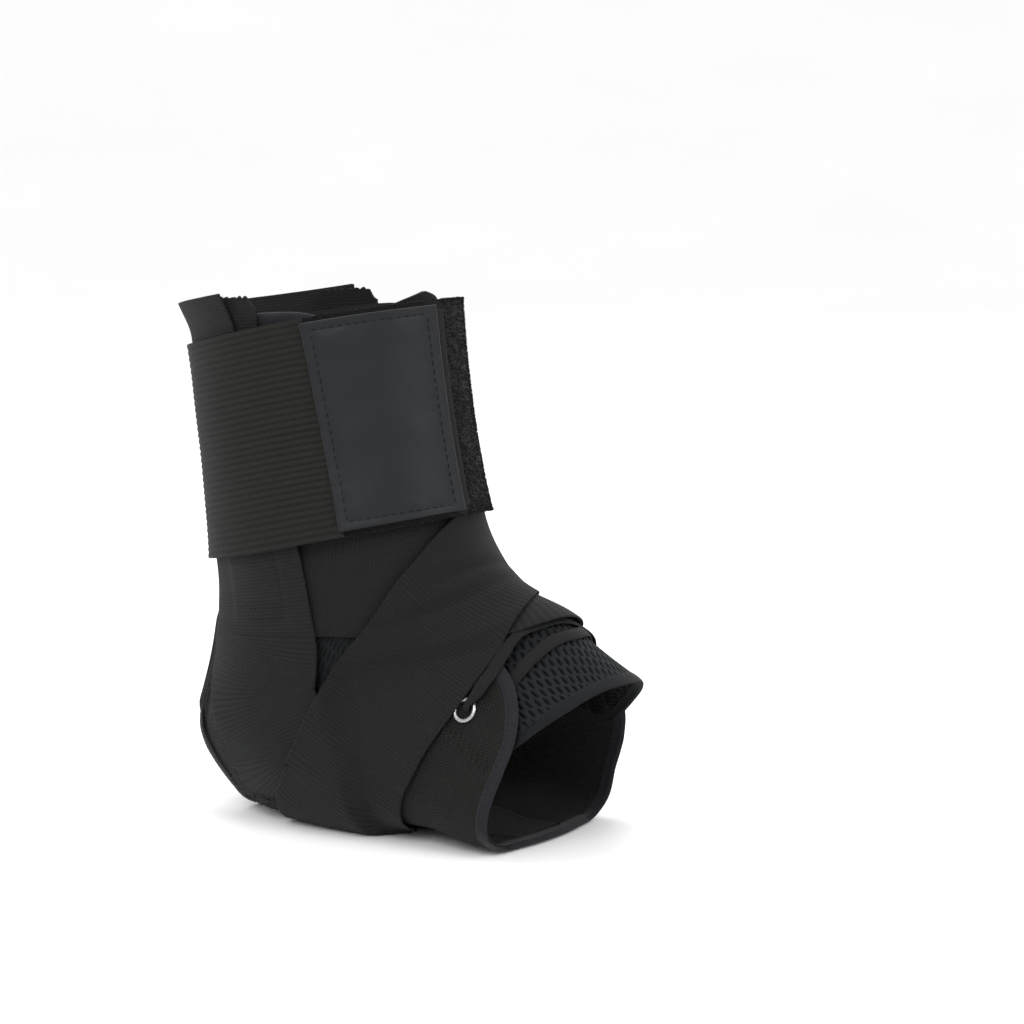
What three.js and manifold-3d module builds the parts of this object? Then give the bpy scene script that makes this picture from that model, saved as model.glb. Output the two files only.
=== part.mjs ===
// Lace-up ankle brace for a right foot, in the form it has when worn, standing on its sole.
// A ballistic cloth boot with an open heel, a padded tongue, two webbing straps that cross in a
// figure of eight under the sole, and an elastic cuff that closes with a hook tab at the top.
// Millimetres. +X runs to the toes, -Y to the outer side of the ankle, +Z up, the floor at z = 0.
import * as THREE from 'three';
import Module from 'manifold-3d';
import { mergeVertices } from 'three/addons/utils/BufferGeometryUtils.js';

// Driving dimensions
const BRACE_HEIGHT = 199; // floor to the front of the top rim
const BRACE_LENGTH = 183; // back of the heel to the front edge of the tongue
const LEG_WIDTH = 68; // across the inside at the top rim
const WALL = 1.8; // ballistic cloth with its lining
const CLEARANCE = 0.5; // between cloth layers that touch
const CORNER_SLACK = 1.35; // share by which the layers part where they turn up from the sole
const PRESS = 0.3; // how far the sole layers are squeezed by the floor
const SOLE_BLEND = 45; // height up to which the layers under the sole lift the form
const SOLE_REACH = { heel: 8, toe: 12 }; // how far the lifted part runs past the straps' edges
const SOLE_SLOPE = { heel: 34, toe: 26 }; // length over which the lift dies away
const TONGUE_THICKNESS = 2.0;
const TONGUE_CLEARANCE = 0.8; // tongue to the inside of the boot
const TONGUE_BORDER = 4.5; // smooth band round the front of the tongue
const TAPE_WIDTH = 5; // knit binding on the boot's edges
const RIM_HEIGHT = 7; // padded binding along the top edge
const RIM_THICKNESS = 3.4;
const HEEL_PUFF = 3.6; // how far the padding swells above the heel opening
const STRAP_WIDTH = 50;
const STRAP_THICKNESS = 1.25;
const STRAP_SLANT = 6; // how much lower the front corner of the free end is
const STRAP_FLARE = 3.5; // how far the strap's free end leans out above the cuff
const POCKET_WIDTH = 24; // sleeve whose end shows above the rim
const CUFF_WIDTH = 79; // on the leg's own surface; the hollow of the ankle makes the outside shorter
const CUFF_THICKNESS = 1.4;
const PILE_THICKNESS = 1.2; // loop strip that the hook tab grips
const PATCH_HEIGHT = 75.5;
const PATCH_THICKNESS = 1.0;
const TAB_HEIGHT = 74;
const LACE_WIDTH = 5;
const LACE_THICKNESS = 1.1;
const EYELET_HOLE = 5;
const EYELET_WIDTH = 8.7;
const EYELET_BARREL = 0.6; // wall of the tube that goes through the cloth
const EYELET_LIP = 0.8; // height of the rolled rim

// Places on the foot form: "along" is 0 at the top rim and 1 at the front edge of the sole,
// "round" is in degrees, 0 at the front, -90 on the outer side, 180 at the back or under the sole.
const SEAM_ROUND = 150; // seams between the quarters and the back and sole panels
const PATCH_ROUND = [-60, -9];
const TAB_ROUND = [-56, -7];
const PILE_ROUND = [-72, 47];
const CUFF_ROUND = [48.9, 303]; // from the inner front, round the back, to the tab
const CUFF_RAMP = [215, 275]; // where the cuff climbs over its own end
const CUFF_ALONG = 0.2135; // middle of the cuff at the front of the leg
const CUFF_DROP = 0.018; // how much lower it lies at the back
const EYELET_ALONG = 0.837;
const EYELET_ROUND = 44.7;
const TONGUE_ROUND = [41, 57]; // half angle of the tongue at its top and at its front
const OUTER_CORNER = [18, 40]; // angles from straight down where each strap climbs to its next layer
const INNER_CORNER = [27, 58];
const ACHILLES_ALONG = [0.0, 0.6];
const SOLE_ALONG = [0.66, 1.03];

// Rows of a table as objects, under the names of its columns.
function named(columns, rows) {
  return rows.map((row) => Object.fromEntries(columns.map((column, i) => [column, row[i]])));
}

// Sections of the foot form. front and back are the ends of each section in the plane y = 0:
// x as shares of BRACE_LENGTH, z as shares of BRACE_HEIGHT. width is a share of LEG_WIDTH,
// middle is the share of the depth that lies behind the widest line, and the powers set how
// square the front and back halves are.
const SECTIONS = named(
  ['along', 'frontX', 'frontZ', 'backX', 'backZ', 'width', 'middle', 'frontPower', 'backPower'],
  [
    [-0.08, 0.093, 1.08, -0.417, 0.997, 0.504, 0.5, 2, 2.1],
    [0, 0.101, 1, -0.404, 0.92, 0.5, 0.5, 2, 2.1],
    [0.14, 0.115, 0.859, -0.383, 0.784, 0.493, 0.5, 2, 2.1],
    [0.28, 0.142, 0.698, -0.361, 0.628, 0.5, 0.5, 2, 2.1],
    [0.4, 0.175, 0.568, -0.344, 0.467, 0.537, 0.5, 2, 2.1],
    [0.5, 0.219, 0.497, -0.361, 0.286, 0.537, 0.48, 2, 2.2],
    [0.6, 0.273, 0.452, -0.41, 0.121, 0.515, 0.45, 2, 2.3],
    [0.68, 0.331, 0.43, -0.311, 0.005, 0.515, 0.42, 2, 2.45],
    [0.78, 0.407, 0.4045, -0.109, 0, 0.544, 0.38, 2, 3.4],
    [0.88, 0.489, 0.357, 0.137, 0, 0.588, 0.34, 2, 3.4],
    [1, 0.59, 0.294, 0.393, 0, 0.632, 0.32, 2.1, 3.6],
    [1.08, 0.667, 0.251, 0.525, 0, 0.662, 0.32, 2.2, 3.4],
  ],
);

// Outer half of the boot's front edge, from the top rim down to the middle of the sole.
const FRONT_EDGE = [
  { along: 0.03, round: -46 },
  { along: 0.14, round: -43 },
  { along: 0.26, round: -38 },
  { along: 0.4, round: -30 },
  { along: 0.55, round: -24 },
  { along: 0.7, round: -21 },
  { along: 0.79, round: -22 },
  { along: 0.85, round: -28 },
  { along: 0.9, round: -39.5 },
  { along: 0.935, round: -54.3 },
  { along: 0.957, round: -74 },
  { along: 0.972, round: -95 },
  { along: 0.988, round: -112 },
  { along: 1.0, round: -135 },
  { along: 1.005, round: -155 },
  { along: 1.006, round: -180 },
];

// Where the quarter's rear seam lies beside each row of the front edge.
const REAR_SEAM = [0, 0.1, 0.21, 0.33, 0.44, 0.53, 0.58, 0.62, 0.66, 0.7, 0.75, 0.81, 0.88, 0.95, 1.03];

// Outer half of the top edge, from the front corner to the middle of the back.
const RIM_EDGE = [
  { along: 0.062, round: -44 },
  { along: 0.045, round: -50 },
  { along: 0.022, round: -65 },
  { along: 0.01, round: -90 },
  { along: 0.006, round: -120 },
  { along: 0.005, round: -150 },
  { along: 0.005, round: -180 },
];

// Outer half of the edge of the heel opening, from the top to the bottom.
const HEEL_EDGE = [
  { along: 0.54, round: -180 },
  { along: 0.545, round: -170 },
  { along: 0.565, round: -162.5 },
  { along: 0.6, round: -160 },
  { along: 0.64, round: -158.5 },
  { along: 0.668, round: -160 },
  { along: 0.684, round: -168 },
  { along: 0.687, round: -180 },
];

// Outer half of the tongue's front edge and top edge, from the middle to the side.
const TONGUE_FRONT = [
  { along: 0.979, round: 0 },
  { along: 0.969, round: -17.5 },
  { along: 0.959, round: -32.5 },
  { along: 0.947, round: -45.4 },
  { along: 0.934, round: -62 },
];
const TONGUE_TOP = [
  { along: 0.012, round: 0 },
  { along: 0.024, round: -14 },
  { along: 0.036, round: -26 },
  { along: 0.038, round: -41 },
];

// Middle line of the outer strap: from the inner side of the ankle forward across the instep,
// down the outer side, under the sole and up the inner side to its free end above the cuff.
const OUTER_STRAP = [
  { along: 0.408, round: 149 },
  { along: 0.413, round: 131 },
  { along: 0.418, round: 113 },
  { along: 0.426, round: 82 },
  { along: 0.44, round: 52 },
  { along: 0.462, round: 30 },
  { along: 0.5, round: 13 },
  { along: 0.557, round: -2 },
  { along: 0.632, round: -15.3 },
  { along: 0.696, round: -33 },
  { along: 0.75, round: -67 },
  { along: 0.778, round: -93.5 },
  { along: 0.8, round: -113 },
  { along: 0.819, round: -130 },
  { along: 0.82, round: -150 },
  { along: 0.815, round: -180 },
  { along: 0.797, round: -205 },
  { along: 0.766, round: -223 },
  { along: 0.702, round: -238 },
  { along: 0.642, round: -250 },
  { along: 0.526, round: -248 },
  { along: 0.398, round: -241 },
  { along: 0.23, round: -232 },
  { along: 0.04, round: -223 },
  { along: -0.055, round: -219 },
];

// The inner strap starts on the outer side and runs lower across the instep; it is written here
// as the mirror image of its route, so that both tables run the same way.
const INNER_STRAP = [
  { along: 0.408, round: 149 },
  { along: 0.413, round: 131 },
  { along: 0.418, round: 113 },
  { along: 0.427, round: 82 },
  { along: 0.446, round: 52 },
  { along: 0.485, round: 28 },
  { along: 0.54, round: 12 },
  { along: 0.598, round: -1 },
  { along: 0.64, round: -16 },
  { along: 0.686, round: -34 },
  { along: 0.742, round: -67 },
  { along: 0.778, round: -93.5 },
  { along: 0.8, round: -113 },
  { along: 0.819, round: -130 },
  { along: 0.82, round: -150 },
  { along: 0.815, round: -180 },
  { along: 0.797, round: -205 },
  { along: 0.766, round: -223 },
  { along: 0.702, round: -238 },
  { along: 0.642, round: -250 },
  { along: 0.526, round: -248 },
  { along: 0.398, round: -241 },
  { along: 0.23, round: -232 },
  { along: 0.04, round: -223 },
  { along: -0.055, round: -219 },
];

// Middle line of the inner stay pocket's end.
const POCKET_ROUTE = [
  { along: 0.17, round: 117 },
  { along: 0.06, round: 113 },
  { along: -0.028, round: 111 },
];

// The upper lace, from the outer eyelet over the instep to the inner one.
const LACE_ROUTE = [
  { along: EYELET_ALONG, round: -EYELET_ROUND },
  { along: 0.836, round: -37 },
  { along: 0.828, round: -27 },
  { along: 0.81, round: -18 },
  { along: 0.792, round: -9 },
  { along: 0.79, round: 0 },
  { along: 0.812, round: 9 },
  { along: 0.832, round: 18 },
  { along: 0.838, round: 27 },
  { along: 0.839, round: 37 },
  { along: EYELET_ALONG, round: EYELET_ROUND },
];
// Outer half of the lower lace, from the boot's edge to the middle of the instep.
const LACE_BAR = [
  { along: 0.842, round: -24.5 },
  { along: 0.832, round: -17 },
  { along: 0.826, round: -9 },
  { along: 0.832, round: 0 },
];

const CUFF_LAYER = 5;
const { lerp, degToRad, radToDeg } = THREE.MathUtils;

const always = (value) => () => value;

// A smooth step from 0 at "from" to 1 at "to", in either direction.
const fade = (from, to, value) => {
  const t = THREE.MathUtils.clamp((value - from) / (to - from), 0, 1);
  return t * t * (3 - 2 * t);
};

// Distance from the form to the inside of a strap layer; layer 2 lies on the boot.
function strapInside(layer, slack = 0) {
  const gap = CLEARANCE * (1 + slack);
  return WALL + gap + (layer - 2) * (STRAP_THICKNESS + gap);
}

// Degrees round from straight down.
const fromSole = (place) => Math.abs(Math.abs(place.round) - 180);

// How loose the straps are where they turn up from the sole.
function cornerSlack(place) {
  const away = fromSole(place);
  return CORNER_SLACK * fade(0.62, 0.68, place.along) * fade(8, 20, away) * fade(85, 65, away);
}

// The form

const slopeAt = (key, i) => {
  const before = SECTIONS[Math.max(i - 1, 0)];
  const after = SECTIONS[Math.min(i + 1, SECTIONS.length - 1)];
  return (after[key] - before[key]) / (after.along - before.along);
};

// One column of SECTIONS at any place along the form, as a smooth cubic through the rows.
function column(key, along) {
  const last = SECTIONS.length - 2;
  let i = 0;
  while (i < last && SECTIONS[i + 1].along < along) i += 1;
  const [a, b] = [SECTIONS[i], SECTIONS[i + 1]];
  const span = b.along - a.along;
  const t = (along - a.along) / span;
  const rise = (t - 1) * (t - 1) * t * span * slopeAt(key, i);
  const fall = t * t * (t - 1) * span * slopeAt(key, i + 1);
  return lerp(a[key], b[key], t * t * (3 - 2 * t)) + rise + fall;
}

// Height of the form's flat sole: it is lifted where the two straps pass beneath it.
function soleHeight(x) {
  const low = WALL - PRESS;
  const high = strapInside(4) - CLEARANCE - PRESS;
  const end = x > 0 ? 'toe' : 'heel';
  const reach = STRAP_WIDTH / 2 + SOLE_REACH[end];
  return lerp(high, low, fade(reach, reach + SOLE_SLOPE[end], Math.abs(x)));
}

// The front and back ends of a section, in the plane y = 0.
function sectionEnds(along) {
  const end = (x, z) => new THREE.Vector2(column(x, along) * BRACE_LENGTH, column(z, along) * BRACE_HEIGHT);
  return [end('frontX', 'frontZ'), end('backX', 'backZ')];
}

function skin(along, round) {
  const angle = degToRad(round);
  const [front, back] = sectionEnds(along);
  const depth = front.distanceTo(back);
  const middle = column('middle', along);
  const forward = Math.cos(angle) >= 0;
  const power = column(forward ? 'frontPower' : 'backPower', along);
  const half = (forward ? 1 - middle : middle) * depth;
  const width = column('width', along) * LEG_WIDTH;
  const sum = Math.abs(Math.cos(angle) / half) ** power + Math.abs(Math.sin(angle) / width) ** power;
  const radius = sum ** (-1 / power);
  const share = middle + (radius * Math.cos(angle)) / depth;
  const x = lerp(back.x, front.x, share);
  const bare = lerp(back.y, front.y, share);
  const z = bare + soleHeight(x) * fade(SOLE_BLEND, 0, bare);
  return new THREE.Vector3(x, radius * Math.sin(angle), z);
}

// The form's own directions at a place: per unit of along, per degree of round, and outward.
function directions(place) {
  const ds = 1e-3;
  const da = 0.1;
  const between = (after, before, distance) => after.sub(before).divideScalar(distance);
  const along = between(skin(place.along + ds, place.round), skin(place.along - ds, place.round), 2 * ds);
  const round = between(skin(place.along, place.round + da), skin(place.along, place.round - da), 2 * da);
  const out = along.clone().cross(round).normalize();
  return { along, round, out };
}

// A point at a distance outside the form, pressed flat where the floor is.
function onForm(place, offset) {
  const point = skin(place.along, place.round).addScaledVector(directions(place).out, offset);
  point.z = Math.max(point.z, 0);
  return point;
}

// The place reached by walking over the form from a place, in a direction, for a distance.
function walk(start, heading, distance) {
  const steps = Math.max(1, Math.ceil(Math.abs(distance) / 3));
  const stride = distance / steps;
  const place = { ...start };
  const direction = heading.clone();
  for (let i = 0; i < steps; i += 1) {
    const { along, round, out } = directions(place);
    direction.addScaledVector(out, -direction.dot(out)).normalize();
    const aa = along.dot(along);
    const rr = round.dot(round);
    const ar = along.dot(round);
    const da = direction.dot(along);
    const dr = direction.dot(round);
    const scale = stride / (aa * rr - ar * ar);
    place.along += scale * (da * rr - dr * ar);
    place.round += scale * (dr * aa - da * ar);
  }
  return place;
}

// Routes over the form

const mirrored = (rows) => rows.map((row) => ({ along: row.along, round: -row.round }));

// Rows of one half followed by the other half, past a last row that lies in the middle.
const wholeLoop = (rows, turn) => {
  const rest = rows.slice(0, -1).reverse();
  return [...rows, ...rest.map((row) => ({ along: row.along, round: turn - row.round }))];
};

// A smooth route through rows of places, read with a share from 0 to 1.
function route(rows, closed = false) {
  const [alongScale, roundScale] = [200, 0.65];
  const points = rows.map((row) => new THREE.Vector3(row.along * alongScale, row.round * roundScale, 0));
  const curve = new THREE.CatmullRomCurve3(points, closed, 'centripetal');
  return (share) => {
    const point = curve.getPoint(share);
    return { along: point.x / alongScale, round: point.y / roundScale };
  };
}

// Shares along a route, closer together where the surface turns sharply.
function stations(path, step, closed) {
  const samples = 300;
  const turnWeight = 2.2;
  const totals = [0];
  let before = { point: onForm(path(0), 0), out: directions(path(0)).out };
  for (let i = 1; i <= samples; i += 1) {
    const place = path(i / samples);
    const now = { point: onForm(place, 0), out: directions(place).out };
    const cost = now.point.distanceTo(before.point) / step + turnWeight * now.out.angleTo(before.out);
    totals.push(totals[i - 1] + cost);
    before = now;
  }
  const count = Math.max(2, Math.round(totals[samples]));
  const shares = [];
  let at = 0;
  for (let k = 0; k < (closed ? count : count + 1); k += 1) {
    const target = (k / count) * totals[samples];
    while (at < samples - 1 && totals[at + 1] < target) at += 1;
    shares.push((at + (target - totals[at]) / (totals[at + 1] - totals[at])) / samples);
  }
  return shares;
}

// Across the route at a share of it: the walking direction to its left-hand side.
function sideways(path, share) {
  const e = 1e-3;
  const ahead = onForm(path(Math.min(share + e, 1)), 0);
  const behind = onForm(path(Math.max(share - e, 0)), 0);
  return directions(path(share)).out.clone().cross(ahead.sub(behind)).normalize();
}

// Solids

// A closed solid between two matching grids of points, with faces that point outward.
function slab(rows, columns, pointAt, closed = false) {
  const positions = [];
  const index = (i, j, side) => ((i % rows) * columns + j) * 2 + side;
  for (let i = 0; i < rows; i += 1) {
    for (let j = 0; j < columns; j += 1) {
      positions.push(...pointAt(i, j, 0).toArray(), ...pointAt(i, j, 1).toArray());
    }
  }
  const faces = [];
  const quad = (a, b, c, d) => faces.push(a, b, c, a, c, d);
  const lastRow = closed ? rows : rows - 1;
  for (let i = 0; i < lastRow; i += 1) {
    for (let j = 0; j < columns - 1; j += 1) {
      quad(index(i, j, 1), index(i + 1, j, 1), index(i + 1, j + 1, 1), index(i, j + 1, 1));
      quad(index(i, j, 0), index(i, j + 1, 0), index(i + 1, j + 1, 0), index(i + 1, j, 0));
    }
    const end = columns - 1;
    quad(index(i, 0, 0), index(i + 1, 0, 0), index(i + 1, 0, 1), index(i, 0, 1));
    quad(index(i, end, 1), index(i + 1, end, 1), index(i + 1, end, 0), index(i, end, 0));
  }
  for (let j = 0; j < columns - 1 && !closed; j += 1) {
    const end = rows - 1;
    quad(index(0, j, 1), index(0, j + 1, 1), index(0, j + 1, 0), index(0, j, 0));
    quad(index(end, j, 0), index(end, j + 1, 0), index(end, j + 1, 1), index(end, j, 1));
  }
  const geometry = new THREE.BufferGeometry();
  geometry.setAttribute('position', new THREE.Float32BufferAttribute(positions, 3));
  geometry.setIndex(faces);
  return facingOut(geometry);
}

function signedVolume(geometry) {
  const position = geometry.getAttribute('position');
  const corners = [new THREE.Vector3(), new THREE.Vector3(), new THREE.Vector3()];
  let volume = 0;
  for (let i = 0; i < geometry.index.count; i += 3) {
    corners.forEach((corner, k) => corner.fromBufferAttribute(position, geometry.index.getX(i + k)));
    volume += corners[0].dot(corners[1].clone().cross(corners[2])) / 6;
  }
  return volume;
}

function facingOut(geometry) {
  if (signedVolume(geometry) < 0) geometry.index.array.reverse();
  geometry.computeVertexNormals();
  return geometry;
}

// A band that follows a route: "from" and "to" are its edges beside the route, and "lag" is how
// far a point falls behind, from 0 at the first edge to 1 at the other.
function band({ path, step, across, from, to, inside, outside, lag = always(0), closed = false }) {
  const shares = stations(path, step, closed);
  const places = shares.map((share) => {
    const heading = sideways(path, share);
    const back = directions(path(share)).out.cross(heading);
    const wide = (edge) => (typeof edge === 'function' ? edge(share) : edge);
    const columns = Array.from({ length: across + 1 }, (_, j) => j / across);
    const start = (side) => walk(path(share), back, lag(share, side));
    return columns.map((side) => walk(start(side), heading, lerp(wide(from), wide(to), side)));
  });
  const offset = (side) => (side ? outside : inside);
  const pointAt = (i, j, side) => onForm(places[i][j], offset(side)(places[i][j], shares[i]));
  return slab(shares.length, across + 1, pointAt, closed);
}

// A patch of cloth over a grid of places, between two distances from the form.
function patch(rows, columns, placeAt, inside, outside) {
  const pointAt = (i, j, side) => {
    const place = placeAt(i / (rows - 1), j / (columns - 1));
    return onForm(place, side ? outside(place) : inside(place));
  };
  return slab(rows, columns, pointAt);
}

const wasm = await Module();
wasm.setup();

function toManifold(geometry) {
  const bare = geometry.clone();
  bare.deleteAttribute('normal');
  bare.deleteAttribute('uv');
  const merged = mergeVertices(bare, 1e-4);
  const mesh = { numProp: 3, vertProperties: merged.attributes.position.array };
  return new wasm.Manifold(new wasm.Mesh({ ...mesh, triVerts: new Uint32Array(merged.index.array) }));
}

// The largest body of a solid, without the slivers that a cut can leave.
function fromManifold(solid) {
  const bodies = solid.decompose().sort((a, b) => b.volume() - a.volume());
  const mesh = bodies[0].getMesh();
  const geometry = new THREE.BufferGeometry();
  geometry.setAttribute('position', new THREE.Float32BufferAttribute(mesh.vertProperties, 3));
  geometry.setIndex(new THREE.BufferAttribute(mesh.triVerts, 1));
  geometry.computeVertexNormals();
  return geometry;
}

const cut = (geometry, cutters) =>
  fromManifold(cutters.reduce((solid, cutter) => solid.subtract(toManifold(cutter)), toManifold(geometry)));

const seamGap = radToDeg((1.5 * CLEARANCE) / LEG_WIDTH);
const frontPath = route(wholeLoop(FRONT_EDGE, -360));
const quarterFront = route([...FRONT_EDGE.slice(0, REAR_SEAM.length - 1), { along: 1.02, round: -142 }]);
const rimPath = route(wholeLoop(RIM_EDGE, -360));
const rimTrimPath = route(wholeLoop([{ along: 0.085, round: -38 }, ...RIM_EDGE], -360));
const heelPath = route(wholeLoop(HEEL_EDGE, -360).slice(0, -1), true);

// Cutters that trim the cloth back to make room for the bindings on its edges.
const through = { inside: always(-4), outside: always(7) };
const trim = (path, step, inward, outward, closed) =>
  band({ path, step, across: 3, from: -outward, to: inward, closed, ...through });
const frontTrim = trim(frontPath, 11, 9, TAPE_WIDTH + CLEARANCE, false);
const rimTrim = trim(rimTrimPath, 8, RIM_HEIGHT + CLEARANCE, 12, false);
const heelTrim = trim(heelPath, 6, TAPE_WIDTH + CLEARANCE, 9, true);

// Pieces

// side is -1 for the outer quarter and 1 for the inner one.
function quarter(side) {
  const [rows, columns] = [29, 11];
  const seam = SEAM_ROUND - seamGap;
  const rear = route(REAR_SEAM.map((along) => ({ along, round: -seam })));
  const placeAt = (u, v) => {
    const [front, back] = [quarterFront(u), rear(u)];
    return { along: lerp(front.along, back.along, v), round: -side * lerp(front.round, back.round, v) };
  };
  const cloth = patch(rows, columns, placeAt, always(0), always(WALL));
  return cut(cloth, [frontTrim, rimTrim, heelTrim, eyeletBore(side)]);
}

// The frame of an eyelet: its place on the form and the direction out of the cloth.
function eyeletFrame(side) {
  const place = { along: EYELET_ALONG, round: side * EYELET_ROUND };
  return { origin: onForm(place, 0), out: directions(place).out };
}

function seated(geometry, side) {
  const { origin, out } = eyeletFrame(side);
  const turn = new THREE.Quaternion().setFromUnitVectors(new THREE.Vector3(0, 1, 0), out);
  return geometry.applyQuaternion(turn).translate(origin.x, origin.y, origin.z);
}

function eyeletBore(side) {
  const radius = EYELET_HOLE / 2 + EYELET_BARREL + CLEARANCE;
  return seated(new THREE.CylinderGeometry(radius, radius, 12, 12), side);
}

function eyelet(side) {
  const inner = EYELET_HOLE / 2;
  const barrel = inner + EYELET_BARREL;
  const outer = EYELET_WIDTH / 2;
  const seat = WALL + CLEARANCE;
  const top = seat + EYELET_LIP;
  const profile = [
    [inner, 0],
    [barrel, 0],
    [barrel, seat],
    [outer, seat],
    [outer, seat + EYELET_LIP / 2],
    [lerp(barrel, outer, 0.6), top],
    [lerp(inner, barrel, 0.6), top],
    [inner, seat + EYELET_LIP / 2],
    [inner, 0],
  ];
  const ring = new THREE.LatheGeometry(profile.map(([r, h]) => new THREE.Vector2(r, h)), 12);
  return seated(facingOut(mergeVertices(ringOnly(ring), 1e-4)), side);
}

function ringOnly(geometry) {
  geometry.deleteAttribute('normal');
  geometry.deleteAttribute('uv');
  return geometry;
}

// Padding that swells above the heel opening, clear of the straps.
function puff(place) {
  const away = fromSole(place);
  return HEEL_PUFF * fade(0.42, 0.47, place.along) * fade(28, 18, away);
}

function achillesPanel() {
  const edge = SEAM_ROUND + seamGap;
  const placeAt = (u, v) => ({ along: lerp(...ACHILLES_ALONG, u), round: lerp(-edge, edge - 360, v) });
  const outside = (place) => WALL + puff(place);
  return cut(patch(15, 7, placeAt, always(0), outside), [rimTrim, heelTrim]);
}

function solePanel() {
  const edge = SEAM_ROUND + seamGap;
  const placeAt = (u, v) => ({ along: lerp(...SOLE_ALONG, u), round: lerp(-edge, edge - 360, v) });
  return cut(patch(16, 7, placeAt, always(0), always(WALL)), [frontTrim, heelTrim]);
}

function tongueEdge(rows) {
  const path = route(rows);
  return (round) => {
    let [low, high] = [0, 1];
    for (let i = 0; i < 24; i += 1) {
      const mid = (low + high) / 2;
      if (-path(mid).round < Math.abs(round)) low = mid;
      else high = mid;
    }
    return path((low + high) / 2).along;
  };
}

const tongueInside = -TONGUE_CLEARANCE - TONGUE_THICKNESS;
const tongueFrontPath = route([...mirrored(TONGUE_FRONT).reverse(), ...TONGUE_FRONT.slice(1)]);

function tongue() {
  const topEdge = tongueEdge(TONGUE_TOP);
  const frontEdge = tongueEdge(TONGUE_FRONT);
  const placeAt = (u, v) => {
    const round = lerp(-1, 1, v) * lerp(...TONGUE_ROUND, u * u);
    return { along: lerp(topEdge(round), frontEdge(round), u), round };
  };
  const cloth = patch(17, 8, placeAt, always(tongueInside), always(-TONGUE_CLEARANCE));
  const border = TONGUE_BORDER + CLEARANCE;
  const sides = { path: tongueFrontPath, step: 6, across: 2 };
  return cut(cloth, [band({ ...sides, from: -border, to: 6, ...through })]);
}

function tongueBorder() {
  const sides = { path: tongueFrontPath, step: 6, across: 1, from: -TONGUE_BORDER, to: 0 };
  return band({ ...sides, inside: always(tongueInside), outside: always(-TONGUE_CLEARANCE) });
}

const frontBinding = () => {
  const tape = { path: frontPath, step: 11, across: 1, from: -TAPE_WIDTH, to: 0 };
  return cut(band({ ...tape, inside: always(0), outside: always(WALL) }), [rimTrim]);
};

const heelBinding = () => {
  const tape = { path: heelPath, step: 6, across: 1, from: 0, to: TAPE_WIDTH, closed: true };
  return band({ ...tape, inside: always(0), outside: always(WALL) });
};

const rimBinding = () => {
  const roll = { path: rimPath, step: 8, across: 1, from: 0, to: RIM_HEIGHT };
  return band({ ...roll, inside: always(0), outside: always(RIM_THICKNESS) });
};

// 1 on the sides of the ankle, 0 under the sole: where a strap can lie one layer further out.
// corner holds the angles from straight down between which the strap climbs.
const onSide = (place, corner) =>
  1 - fade(0.56, 0.68, place.along) * (1 - fade(...corner, fromSole(place)));

// Layer of the outer strap: third over the instep, the sole and its start, fourth on the sides.
const outerLayer = (place) => 3 + fade(20, -25, place.round) * onSide(place, OUTER_CORNER);

// Layer of the inner strap: second, third once it is past the sole, and fourth under the cuff.
function innerLayer(place) {
  const past = fade(-179, -181, place.round) * onSide(place, INNER_CORNER);
  return 2 + past * (1 + fade(0.44, 0.36, place.along));
}

function strap(rows, side, layerAt) {
  const path = route(side < 0 ? rows : mirrored(rows));
  const turned = (place) => ({ along: place.along, round: -side * place.round });
  const flare = (place) => STRAP_FLARE * fade(0.03, -0.06, place.along);
  const inside = (place) => strapInside(layerAt(turned(place)), cornerSlack(place)) + flare(place);
  const outside = (place) => inside(place) + STRAP_THICKNESS;
  const half = STRAP_WIDTH / 2;
  const toFront = (edge) => (side > 0 ? 1 - edge : edge);
  const lag = (share, edge) => STRAP_SLANT * fade(0.93, 1, share) * toFront(edge);
  return band({ path, step: 13, across: 6, from: -half, to: half, inside, outside, lag });
}

// End of the sleeve for the side stay, which shows above the rim behind the strap's end.
function stayPocket(side) {
  const path = route(side > 0 ? POCKET_ROUTE : mirrored(POCKET_ROUTE));
  const inside = always(strapInside(3));
  const outside = always(strapInside(3) + STRAP_THICKNESS);
  const half = POCKET_WIDTH / 2;
  return band({ path, step: 9, across: 3, from: -half, to: half, inside, outside });
}

const cuffInside = strapInside(CUFF_LAYER) + CLEARANCE / 4;
const cuffOver = cuffInside + PILE_THICKNESS + CLEARANCE;
const patchInside = cuffOver + CUFF_THICKNESS + CLEARANCE;

// The cuff's middle line, which drops a little towards the back.
function levelPlace(round) {
  return { along: CUFF_ALONG + (CUFF_DROP * (1 - Math.cos(degToRad(round)))) / 2, round };
}

// A band round the leg between two angles, level with the cuff.
function legBand([start, end], height, inside, thickness) {
  const path = (share) => levelPlace(lerp(start, end, share));
  const outside = (place) => inside(place) + thickness;
  return band({ path, step: 9, across: 3, from: -height / 2, to: height / 2, inside, outside });
}

const cuffRise = (place) => lerp(cuffInside, cuffOver, fade(...CUFF_RAMP, place.round));
const cuff = () => legBand(CUFF_ROUND, CUFF_WIDTH, cuffRise, CUFF_THICKNESS);
const loopStrip = () => legBand(PILE_ROUND, CUFF_WIDTH, always(cuffInside), PILE_THICKNESS);
const hookTab = () => legBand(TAB_ROUND, TAB_HEIGHT, always(cuffOver), CUFF_THICKNESS);
const labelPatch = () => legBand(PATCH_ROUND, PATCH_HEIGHT, always(patchInside), PATCH_THICKNESS);

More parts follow.
